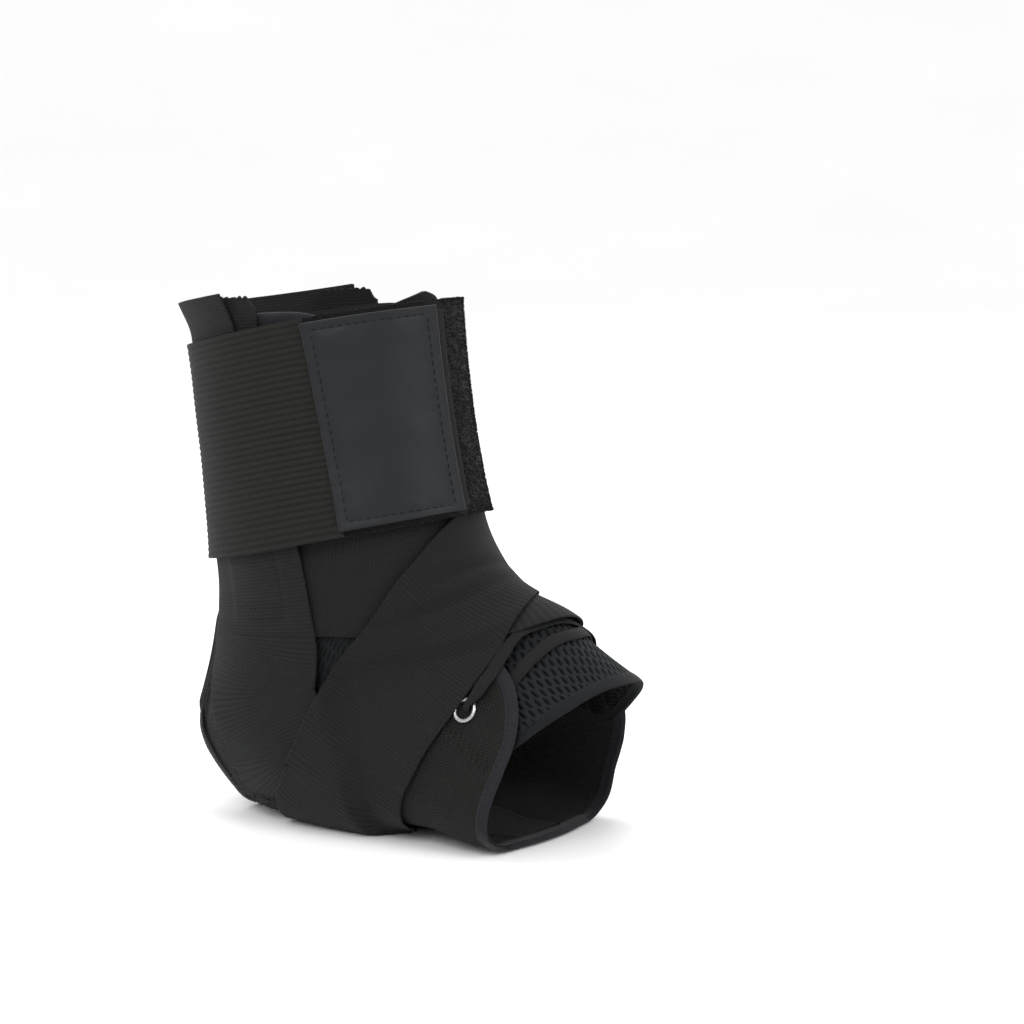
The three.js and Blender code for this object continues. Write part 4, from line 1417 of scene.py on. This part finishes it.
@dataclass
class Straps:
    """The two straps that cross over the instep and under the sole, and the stay pockets' ends."""

    pitch: float = 1.6
    slant: float = 6.0
    flare: float = 3.5
    pressed: float = 2.6
    outer_cut: float = 540.0
    inner_cut: float = 535.0
    # how far each strap is pulled in at the instep, and how narrow it gets under the cuff
    outer_pull: float = 5.5
    inner_pull: float = 4.0
    end_pull: float = 5.5
    end_from: tuple[float, float] = (400.0, 440.0)
    # where the outer strap's rear edge stands on the inner strap: degrees round, and distance across it
    press_turn: tuple[float, ...] = (
        -170, -156, -145, -138, -132, -107, -87, -70, -60, -50, -41, -34, -29, -25, -20, -16, -7)
    press_side: tuple[float, ...] = (23, 19, 13, 8, 5, -4, -13, -24, -30, -29, -23, -16, -9, -2, 9, 17, 26)
    press_ramp: tuple[float, float] = (2.0, 12.0)
    hem_from: tuple[float, float] = (364.0, 367.0)
    hem_height: float = 0.4
    side_depth: float = 0.5
    # rows of stitches: distance along and towards the front, at both ends
    sewing: Sequence[tuple[tuple[float, float], tuple[float, float]]] = (
        ((368, 14), (396, 14)), ((367.2, -2), (367.2, 14)), ((361.5, -11), (361.5, 19)),
        ((371, -2), (371, 14)),
    )
    sewing_shift: float = 3.0
    sewing_thread: tuple[float, float, float] = (2.4, 1.7, 0.36)
    # each fold: lean, place, stretch, width, middle across, half length, depth
    creases: Sequence[tuple[float, ...]] = (
        (1.33, 115, 1.66, 2.3, -9, 9, 1.3), (1.15, 135.4, 1.52, 2.3, -7, 13, 1.3),
        (1.25, 125, 1.6, 3.0, -8, 11, -0.6),
    )
    pocket_width: float = 22.0
    pocket_cut: float = 43.0
    pocket: Rows = ((0.17, 117), (0.06, 113), (-0.028, 111))

    def on_side(self, along: Array, round_: Array, corner: tuple[float, float]) -> Array:
        """1 on the sides of the brace, 0 under the sole."""
        return 1 - fade(0.56, 0.68, along) * (1 - fade(*corner, from_sole(round_)))

    def outer_layer(self, along: Array, round_: Array) -> Array:
        """Layer of the outer strap, third over the instep and the sole, fourth on the sides."""
        return 3 + fade(20, -25, round_) * self.on_side(along, round_, (18, 40))

    def inner_layer(self, along: Array, round_: Array) -> Array:
        """Layer of the inner strap, second, then third past the sole and fourth under the cuff."""
        past = fade(-179, -181, round_) * self.on_side(along, round_, (27, 58))
        return 2 + past * (1 + fade(0.44, 0.36, along))

    def slack(self, along: Array, round_: Array) -> Array:
        """How loose the straps are where they turn up from the sole."""
        away = from_sole(round_)
        return 0.6 * CORNER_SLACK * fade(0.62, 0.68, along) * fade(8, 20, away) * fade(85, 65, away)

    def strap_grid(self, side: int) -> Grid:
        """The places that a strap covers.

        Args:
            side: -1 for the strap that runs down the outer side, 1 for the other.

        Returns:
            Its grid, with u from its start under the cuff.
        """
        outer = side < 0
        route = Route(OUTER_STRAP if outer else mirrored(INNER_STRAP))
        half = STRAP_WIDTH / 2

        def lag(u: Array, v: Array) -> Array:
            """The slanted cut of the strap's end."""
            edge = v / STRAP_WIDTH + 0.5
            return self.slant * fade(0.93, 1, u / route.length) * (1 - edge if side > 0 else edge)

        def spread(u: Array, v: Array) -> Array:
            """Where the strap is pulled narrower, at the instep and under the cuff.

            Args:
                u: distance along the strap.
                v: distance across it when it lies flat.

            Returns:
                Distance across it as pulled.
            """
            end = self.end_pull * (half - side * v) / STRAP_WIDTH * fade(*self.end_from, u)
            if outer:
                return v - self.outer_pull * bell(u - 118, 20) * fade(-5, 25, v) - end
            return v - self.inner_pull * bell(u - 124, 14) * fade(5, -25, v) + end

        return band_grid(route, self.pitch, spaced(-half, half, 1.7, 0.5), ends=0.5, lag=lag, spread=spread)

    def strap(self, side: int) -> bpy.types.Object:
        """One strap and its stitches.

        Args:
            side: -1 for the strap that runs down the outer side, 1 for the other.

        Returns:
            The dressed strap.
        """
        outer = side < 0
        grid = self.strap_grid(side)
        turned = -side * grid.round_
        layer = (self.outer_layer if outer else self.inner_layer)(grid.along, turned)
        inside = strap_inside(layer, self.slack(grid.along, turned))
        inside = inside + self.flare * fade(0.03, -0.06, grid.along)
        if outer:
            inside = inside + (np.minimum(inside, self.pressed) - inside) * self.press(grid, turned)
            inside = inside - fade(8, 25, grid.v) * bell(turned, 22)
        soft = 0.22 * (1 + ripple(grid.points(inside), 30, 1.1 * side)) * fade(0.68, 0.6, grid.along)
        outside = inside + STRAP_THICKNESS + soft - round_edge(edge_distance(grid.v), 0.5, 0.45)
        outside = outside + self.hems(-side * grid.v, grid.u + 3 * outer)
        if outer:
            outside = outside - self.folds(grid)
        name = "diagonal_strap" if outer else "upright_strap"
        obj = cloth(name, grid, outside, STRAP_THICKNESS - 0.35)
        dressed(obj, WEBBING, "strap_over" if outer else "strap_under")
        sewing = self.seams(name, grid, outside, side)
        length = self.outer_cut if outer else self.inner_cut
        rests = ["quarter_outer_cloth", "quarter_inner_cloth"] + ["upright_strap"] * outer
        return cut(obj, STRAP_WIDTH, length, "stretched", rests, with_pieces=[sewing])

    def press(self, grid: Grid, turned: Array) -> Array:
        """Where the outer strap lies straight on the boot.

        Args:
            grid: the strap's grid.
            turned: degrees round the form, as on the outer side.

        Returns:
            1 on the boot and 0 over the other strap.
        """
        return fade(*self.press_ramp, grid.v - np.interp(turned, self.press_turn, self.press_side))

    def hems(self, front: Array, u: Array) -> Array:
        """Height of the hem and the folded side of a strap's upright end.

        Args:
            front: distance from the strap's middle towards the front.
            u: distance along the strap.

        Returns:
            The height over the plain strap.
        """
        start = fade(*self.hem_from, u)
        hem = self.hem_height * fade(14.5, 15.5, front) * start * fade(440, 430, u)
        return hem - self.side_depth * fade(-9, -10.5, front) * start

    def seams(self, name: str, grid: Grid, outside: Array, side: int) -> bpy.types.Object:
        """The rows of stitches on a strap's upright end.

        Args:
            name: the strap's name.
            grid: its grid.
            outside: distance of its outer face from the form.
            side: -1 for the outer strap, 1 for the other.

        Returns:
            The dressed stitches.
        """
        shift = -self.sewing_shift if side < 0 else 0.0
        share = np.linspace(0, 1, 80)
        rows = []
        for start, stop in self.sewing:
            u = start[0] + (stop[0] - start[0]) * share + shift
            front = start[1] + (stop[1] - start[1]) * share
            points, outs = lay(grid, outside + 0.08, u, -side * front)
            rows.append(stitches("row", points, outs, *self.sewing_thread))
        return dressed(joined(name + "_stitching", rows), THREAD)

    def folds(self, grid: Grid) -> Array:
        """The soft folds where the strap bends over the front of the brace, and the ridge between.

        Args:
            grid: the strap's grid.

        Returns:
            Their depth.
        """
        total = np.zeros_like(grid.u)
        for lean, place, stretch, width, middle, reach, depth in self.creases:
            across = (grid.u + lean * grid.v - place) / stretch
            total = total + depth * bell(across, width) * bell(grid.v - middle, reach)
        return total

    def stay_pocket(self, side: int) -> bpy.types.Object:
        """The end of a stay pocket, with its rough cut edge.

        Args:
            side: -1 outer, 1 inner.

        Returns:
            The dressed piece.
        """
        route = Route(self.pocket if side > 0 else mirrored(self.pocket))
        half = self.pocket_width / 2

        def lag(u: Array, v: Array) -> Array:
            """The slanted and frayed cut."""
            frayed = 4.5 * fade(0.6, 1, (v / half) * side) + 0.35 * np.sin(v * 2.1) + 0.25 * np.sin(v * 5.3)
            return frayed * fade(0.8, 1, u / route.length)

        grid = band_grid(route, 1.2, spaced(-half, half, 0.8, 0.4), ends=0.4, lag=lag)
        name = "outer_pocket_end" if side < 0 else "inner_pocket_end"
        obj = cloth(name, grid, strap_inside(3) + STRAP_THICKNESS - 0.1, STRAP_THICKNESS - 0.4)
        dressed(obj, WEBBING, "stay_pocket_outer" if side < 0 else "stay_pocket_inner")
        under = "upright_strap" if side < 0 else "diagonal_strap"
        return cut(obj, self.pocket_width, self.pocket_cut, "laid", [under])

    def build(self) -> None:
        """Builds both straps and both pockets."""
        self.strap(1)
        self.strap(-1)
        self.stay_pocket(-1)
        self.stay_pocket(1)


@dataclass
class Cuff:
    """The elastic cuff, its loop strip, hook tab and bare label."""

    along: float = 0.2165
    drop: float = 0.021
    height: float = 81.0
    thickness: float = 1.4
    rib: float = 2.4
    rib_depth: float = 0.34
    rib_steps: int = 5
    rib_count: int = 34
    pile: float = 1.2
    tab_height: float = 74.0
    label_height: float = 77.5
    # where each band starts and stops, in degrees round the form
    elastic_turn: tuple[float, float] = (48.9, 303.0)
    rise_turn: tuple[float, float] = (215.0, 275.0)
    loop_turn: tuple[float, float] = (-72.0, 47.0)
    tab_turn: tuple[float, float] = (-56.0, -4.6)
    label_turn: tuple[float, float] = (-58.3, -8.0)
    elastic_cut: float = 206.0
    loop_cut: float = 109.0
    tab_cut: float = 49.5
    label_cut: float = 49.3
    tufts: int = 15000
    # smallest and largest width, depth and length of a tuft
    tuft_sizes: Sequence[tuple[float, float]] = ((0.26, 0.5), (0.26, 0.5), (0.8, 1.6))
    tuft_lean: float = 0.45
    seam_inset: float = 3.0
    seam_depth: float = 0.28
    sewing_thread: tuple[float, float, float] = (3.1, 2.2, 0.42)

    def __post_init__(self) -> None:
        """Works out where each layer lies."""
        self.inside = strap_inside(5) + CLEARANCE / 4
        self.over = self.inside + self.pile + CLEARANCE
        self.label_inside = self.over + self.thickness + CLEARANCE

    def route(self, start: float, stop: float) -> Route:
        """The cuff's middle line between two turns in degrees, lower at the back."""
        turns = np.linspace(start, stop, 12)
        return Route([(self.along + self.drop * (1 - math.cos(math.radians(t))) / 2, t) for t in turns])

    def band(self, start: float, stop: float, pitch: float, sides: Array) -> Grid:
        """A grid round the form, level with the cuff, between two turns in degrees."""
        return band_grid(self.route(start, stop), pitch, sides, ends=0.6)

    def elastic(self) -> bpy.types.Object:
        """The ribbed elastic, from the loop strip round the back to the hook tab.

        Returns:
            The dressed piece.
        """
        half = self.height / 2
        sides = np.linspace(-half, half, self.rib_count * self.rib_steps + 1)
        grid = self.band(*self.elastic_turn, 2.4, sides)
        rise = self.inside + (self.over - self.inside) * fade(*self.rise_turn, grid.round_)
        ribs = self.rib_depth * (np.abs(np.sin(grid.v * math.pi / self.rib)) ** 0.7 - 1)
        waves = 0.25 * ripple(grid.points(rise), 42, 0.4)
        obj = cloth("elastic_band", grid, rise + self.thickness + ribs + waves, 0.9)
        dressed(obj, ELASTIC, "elastic_cuff")
        return cut(obj, self.height, self.elastic_cut, "stretched", ["diagonal_strap", "upright_strap"])

    def loop_strip(self) -> bpy.types.Object:
        """The strip that the hook tab grips, with its pile.

        Returns:
            The dressed strip.
        """
        half = self.height / 2
        grid = self.band(*self.loop_turn, 2.0, spaced(-half, half, 2.0, 0.6))
        base = cloth("loop_strip_cloth", grid, self.inside + self.pile - 0.5, self.pile - 0.6)
        tufts = dressed(self.loop_pile(grid), PILE)
        dressed(base, PILE, "loop_strip")
        return cut(base, self.height, self.loop_cut, "laid", ["diagonal_strap"], with_pieces=[tufts])

    def loop_pile(self, grid: Grid) -> bpy.types.Object:
        """Small tufts all over the loop strip, closer where it shows.

        Args:
            grid: the strip's grid.

        Returns:
            The mesh object.
        """
        rng = np.random.default_rng(5)
        count = self.tufts
        row = rng.uniform(0, grid.along.shape[0] - 1.001, count)
        column = rng.uniform(0, grid.along.shape[1] - 1.001, count)
        shown = rng.integers(0, 3, count) > 0
        row = np.where(shown, rng.uniform(0.55, 1, count) * (grid.along.shape[0] - 1.01), row)
        i, j = row.astype(int), column.astype(int)
        fi, fj = row - i, column - j

        def blend(a: Array) -> Array:
            """Values of the grid at the tufts' places.

            Args:
                a: values over the grid.

            Returns:
                One value for each tuft.
            """
            near = a[i, j] * (1 - fi) + a[i + 1, j] * fi
            far = a[i, j + 1] * (1 - fi) + a[i + 1, j + 1] * fi
            return near * (1 - fj) + far * fj

        along, round_ = blend(grid.along), blend(grid.round_)
        outs = FORM.directions(along, round_)[2]
        spots = FORM.point(along, round_, np.full(count, self.inside + self.pile - 0.45))
        lean = outs + rng.normal(0, self.tuft_lean, (count, 3))
        lean /= np.linalg.norm(lean, axis=1, keepdims=True)
        side = np.cross(lean, rng.normal(0, 1, (count, 3)))
        side /= np.linalg.norm(side, axis=1, keepdims=True)
        axes = np.stack([side, np.cross(lean, side), lean], 1)
        sizes = np.stack([rng.uniform(*size, count) for size in self.tuft_sizes], 1)
        return many("loop_pile", bead(3, 2), spots, axes, sizes)

    def tab(self) -> bpy.types.Object:
        """The hook tab under the label, with its cut edges.

        Returns:
            The dressed piece.
        """
        half = self.tab_height / 2
        grid = self.band(*self.tab_turn, 1.5, spaced(-half, half, 1.5, 0.5))
        edge = round_edge(edge_distance(grid.v), 0.5, 0.4) + round_edge(edge_distance(grid.u), 0.5, 0.4)
        obj = cloth("closing_tab", grid, self.over + self.thickness - edge, self.thickness - 0.3)
        dressed(obj, TAB, "hook_tab")
        return cut(obj, self.tab_height, self.tab_cut, "laid", ["loop_strip_cloth"])

    def label(self) -> bpy.types.Object:
        """The bare satin label, puckered along its stitching.

        Returns:
            The dressed piece.
        """
        half = self.label_height / 2
        grid = self.band(*self.label_turn, 0.9, spaced(-half, half, 0.9, 0.5))
        edge = np.minimum(edge_distance(grid.v), edge_distance(grid.u))
        outside = self.label_inside + 1.0 - round_edge(edge, 0.6, 0.45)
        points = grid.points(outside)
        seam = -self.seam_depth * bell(edge - self.seam_inset, 0.7)
        swell = 0.35 * fade(3, 9, edge)
        creases = 0.25 * ripple(points, 18, 2.7) * fade(2, 8, edge)
        puckers = 0.16 * ripple(points, 6, 0.3) * bell(edge - 4, 3)
        obj = cloth("satin_label", grid, outside + seam + swell + (creases + puckers), 0.6)
        dressed(obj, SATIN, "label_patch")
        sewing = self.label_stitches()
        return cut(obj, self.label_height, self.label_cut, "laid", ["closing_tab"], with_pieces=[sewing])

    def label_stitches(self) -> bpy.types.Object:
        """The stitching round the label.

        Returns:
            The dressed stitches.
        """
        route = self.route(*self.label_turn)
        inset, length = self.seam_inset, route.length
        half = self.label_height / 2 - inset
        runs = [(np.linspace(inset, length - inset, 160), np.full(160, side)) for side in (-half, half)]
        runs += [(np.full(200, end), np.linspace(-half, half, 200)) for end in (inset, length - inset)]
        rows = []
        for distance, shift in runs:
            along, round_, left, _ = route.frames(distance)
            along, round_ = FORM.walk(along, round_, left, shift)
            points = FORM.point(along, round_, self.label_inside + 0.92)
            rows.append(stitches("row", points, FORM.directions(along, round_)[2], *self.sewing_thread))
        return dressed(joined("label_stitching", rows), THREAD)

    def build(self) -> None:
        """Builds the cuff and all that is on it."""
        self.elastic()
        self.loop_strip()
        self.tab()
        self.label()


@dataclass
class Lacing:
    """The lowest pair of eyelets and the laces that show."""

    eyelet_along: float = 0.837
    eyelet_round: float = 44.7
    hole: float = 6.3
    width: float = 9.4
    ring_steps: int = 48
    ring_lift: float = 0.15
    ring_flat: float = 0.75
    tube_wall: float = 0.25
    lace: float = 5.0
    thickness: float = 1.1
    lace_columns: int = 13
    upper: Rows = (
        (0.837, -44.7), (0.833, -37), (0.817, -28), (0.797, -20), (0.778, -12.5), (0.781, -6), (0.79, 0),
        (0.806, 7), (0.826, 15), (0.836, 23), (0.839, 32), (0.837, 44.7),
    )
    bar: Rows = ((0.848, -31), (0.842, -24.5), (0.832, -17), (0.826, -9), (0.832, 0))

    def eyelet(self, side: int) -> bpy.types.Object:
        """A rolled metal ring with its tube.

        Args:
            side: -1 outer, 1 inner.

        Returns:
            The dressed piece.
        """
        ring = (self.width - self.hole) / 4
        major = self.hole / 2 + ring
        depth = WALL + CLEARANCE
        bpy.ops.object.select_all(action="DESELECT")
        bpy.ops.mesh.primitive_torus_add(
            major_segments=self.ring_steps, minor_segments=14, major_radius=major, minor_radius=ring
        )
        roll = bpy.context.object
        for vertex in roll.data.vertices:
            vertex.co.z = depth + self.ring_lift + vertex.co.z * self.ring_flat
        bpy.ops.object.select_all(action="DESELECT")
        bpy.ops.mesh.primitive_cylinder_add(
            vertices=self.ring_steps, radius=self.hole / 2 + self.tube_wall, depth=depth,
            end_fill_type="NOTHING", location=(0, 0, 0),
        )
        tube = bpy.context.object
        for vertex in tube.data.vertices:
            vertex.co.z += depth / 2
        wall = tube.modifiers.new("wall", "SOLIDIFY")
        wall.thickness = self.tube_wall
        wall.offset = 0
        apply_all(tube)
        obj = joined("eyelet_ring_outer" if side < 0 else "eyelet_ring_inner", [roll, tube])
        spot = np.array([self.eyelet_along]), np.array([side * self.eyelet_round])
        origin = Vector(FORM.point(*spot, 0.0)[0])
        out = Vector(FORM.directions(*spot)[2][0])
        turn = out.to_track_quat("Z", "X")
        for vertex in obj.data.vertices:
            vertex.co = (origin + turn @ vertex.co) * MM
        smooth(obj, 40)
        obj.data.materials.clear()
        obj.data.materials.append(nickel())
        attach(obj, "root")
        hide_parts("eyelet_outer" if side < 0 else "eyelet_inner")
        LOG.info("%s: %d faces", obj.name, len(obj.data.polygons))
        return obj

    def flat_lace(
        self, name: str, node: str, rows: Rows, inside: Callable[[Array], Array],
        width: Callable[[Array], Array],
    ) -> bpy.types.Object:
        """A flat woven lace along a route.

        Args:
            name: the piece's name.
            node: the solid that it replaces.
            rows: its route.
            inside: its height over the form, from the share of its length.
            width: its width, from the share of its length.

        Returns:
            The dressed piece.
        """
        route = Route(rows)
        shares = np.linspace(-1, 1, self.lace_columns)
        distance = spaced(0, route.length, 0.8, 0.4)
        along, round_, left, _ = route.frames(distance)
        share = distance / route.length
        reach = shares[None, :] * (width(share) / 2)[:, None]
        spread = np.ones_like(reach)
        along, round_ = FORM.walk(along[:, None] * spread, round_[:, None] * spread,
                                  np.repeat(left[:, None, :], self.lace_columns, axis=1), reach)
        grid = Grid(along, round_, distance[:, None] * spread, reach)
        dome = self.thickness * (0.4 + 0.6 * np.sqrt(np.clip(1 - shares**2, 0, 1)))[None, :]
        weave = 0.05 * np.sin((grid.u + np.abs(grid.v)) * 2 * math.pi / 1.6)
        obj = cloth(name, grid, inside(share)[:, None] + dome + weave, 0.4)
        return dressed(obj, LACE, node)

    def build(self) -> None:
        """Builds the eyelets and the laces."""
        self.eyelet(-1)
        self.eyelet(1)
        self.flat_lace("upper_lace", "lace_arch", self.upper, self.upper_inside, self.upper_width)
        bar = whole_loop(self.bar, 0)
        self.flat_lace("lower_lace", "lace_bar", bar, self.bar_inside, self.bar_width)

    def upper_inside(self, share: Array) -> Array:
        """How high the upper lace lies: through the eyelet, over the tape and down on the tongue.

        Args:
            share: share of its length.

        Returns:
            The height of its inner face over the form.
        """
        end = np.minimum(share, 1 - share)
        over = WALL + 0.8 + 2 * CLEARANCE
        lift = over - self.thickness * (1 - fade(0, 0.03, end)) * 2
        lift = lift + (WALL + CLEARANCE - lift) * fade(0.1, 0.16, end)
        return lift * fade(0.42, 0.27, end) + 0.1

    def upper_width(self, share: Array) -> Array:
        """How wide the upper lace is: folded in the eyelet and turned on edge over the tongue.

        Args:
            share: share of its length.

        Returns:
            Its width.
        """
        end = np.minimum(share, 1 - share)
        return self.lace * (0.6 + 0.4 * fade(0.03, 0.09, end) - 0.35 * fade(0.2, 0.36, end))

    def bar_inside(self, share: Array) -> Array:
        """How high the lower lace lies over the form, lower at its hidden ends."""
        return -0.25 - 0.7 * fade(0.12, 0.03, np.minimum(share, 1 - share))

    def bar_width(self, share: Array) -> Array:
        """How wide the lower lace is, all along its length."""
        return np.full_like(share, self.lace)


@dataclass
class Studio:
    """A pale floor, soft light and the camera at the photograph's angle."""

    azimuth: float = 32.0
    elevation: float = 7.0
    distance: float = 1.135
    target: tuple[float, float, float] = (0.055, 0.0, 0.118)
    lens: float = 110.74
    room: float = 8.0
    flat: float = 3.0
    floor_rise: float = 0.12
    floor_steps: int = 80
    floor_colors: Sequence[tuple[float, ...]] = ((0.86, 0.86, 0.87, 1), (0.9, 0.9, 0.9, 1))
    room_light: float = 1.12
    # name, place, size and power of each lamp
    lamps: Sequence[tuple[str, tuple[float, float, float], float, float]] = (
        ("key lamp", (0.2, -1.4, 1.1), 0.9, 14),
        ("side lamp", (1.5, -0.2, 0.8), 0.8, 9),
        ("top lamp", (-0.4, 0.5, 1.6), 1.2, 12),
    )

    def camera(self) -> None:
        """Places the camera."""
        az, el = math.radians(self.azimuth), math.radians(self.elevation)
        back = Vector((math.sin(az) * math.cos(el), -math.cos(az) * math.cos(el), math.sin(el)))
        data = bpy.data.cameras.new("camera")
        data.lens = self.lens
        data.sensor_width = 36
        data.clip_start = 0.01
        obj = bpy.data.objects.new("camera", data)
        obj.location = Vector(self.target) + back * self.distance
        obj.rotation_euler = back.to_track_quat("Z", "Y").to_euler()
        bpy.context.collection.objects.link(obj)
        bpy.context.scene.camera = obj

    def floor(self) -> None:
        """Lays the pale floor."""
        bpy.ops.object.select_all(action="DESELECT")
        bpy.ops.mesh.primitive_grid_add(
            x_subdivisions=self.floor_steps, y_subdivisions=self.floor_steps, size=2 * self.room
        )
        obj = bpy.context.object
        obj.name = "floor"
        for vertex in obj.data.vertices:
            vertex.co.z = self.floor_rise * max(0.0, vertex.co.length - self.flat) ** 2
        smooth(obj, 80)
        material = bpy.data.materials.new("pale floor")
        material.use_nodes = True
        n = Nodes(material.node_tree)
        shader = material.node_tree.nodes["Principled BSDF"]
        shader.inputs["Roughness"].default_value = 0.9
        cloud = n.add("ShaderNodeTexNoise")
        n.feed(cloud.inputs["Vector"], n.add("ShaderNodeTexCoord").outputs["Object"])
        n.feed(cloud.inputs["Scale"], 3.0)
        n.feed(shader.inputs["Base Color"], n.mix(cloud.outputs["Fac"], *self.floor_colors))
        obj.data.materials.append(material)

    def light(self, name: str, place: Sequence[float], size: float, power: float) -> None:
        """One soft lamp that faces the brace.

        Args:
            name: its name.
            place: where it hangs, in metres.
            size: the side of its square.
            power: in watts.
        """
        data = bpy.data.lights.new(name, "AREA")
        data.size = size
        data.energy = power
        obj = bpy.data.objects.new(name, data)
        obj.location = place
        obj.rotation_euler = (Vector(place) - Vector((0, 0, 0.1))).to_track_quat("Z", "Y").to_euler()
        bpy.context.collection.objects.link(obj)

    def build(self) -> None:
        """Sets up the whole studio."""
        self.camera()
        self.floor()
        world = bpy.data.worlds.new("soft room")
        world.use_nodes = True
        sky = world.node_tree.nodes["Background"]
        sky.inputs["Color"].default_value = (1, 1, 1, 1)
        sky.inputs["Strength"].default_value = self.room_light
        bpy.context.scene.world = world
        for lamp in self.lamps:
            self.light(*lamp)


def main() -> None:
    """Builds the studio and every part of the brace, and reports each piece."""
    logging.basicConfig(level=logging.INFO, format="%(message)s")
    bpy.context.scene.view_settings.view_transform = "Standard"
    for part in (Studio(), Boot(), Tongue(), Straps(), Cuff(), Lacing()):
        LOG.info("building %s", type(part).__name__)
        part.build()


if __name__ == "__main__":
    main()
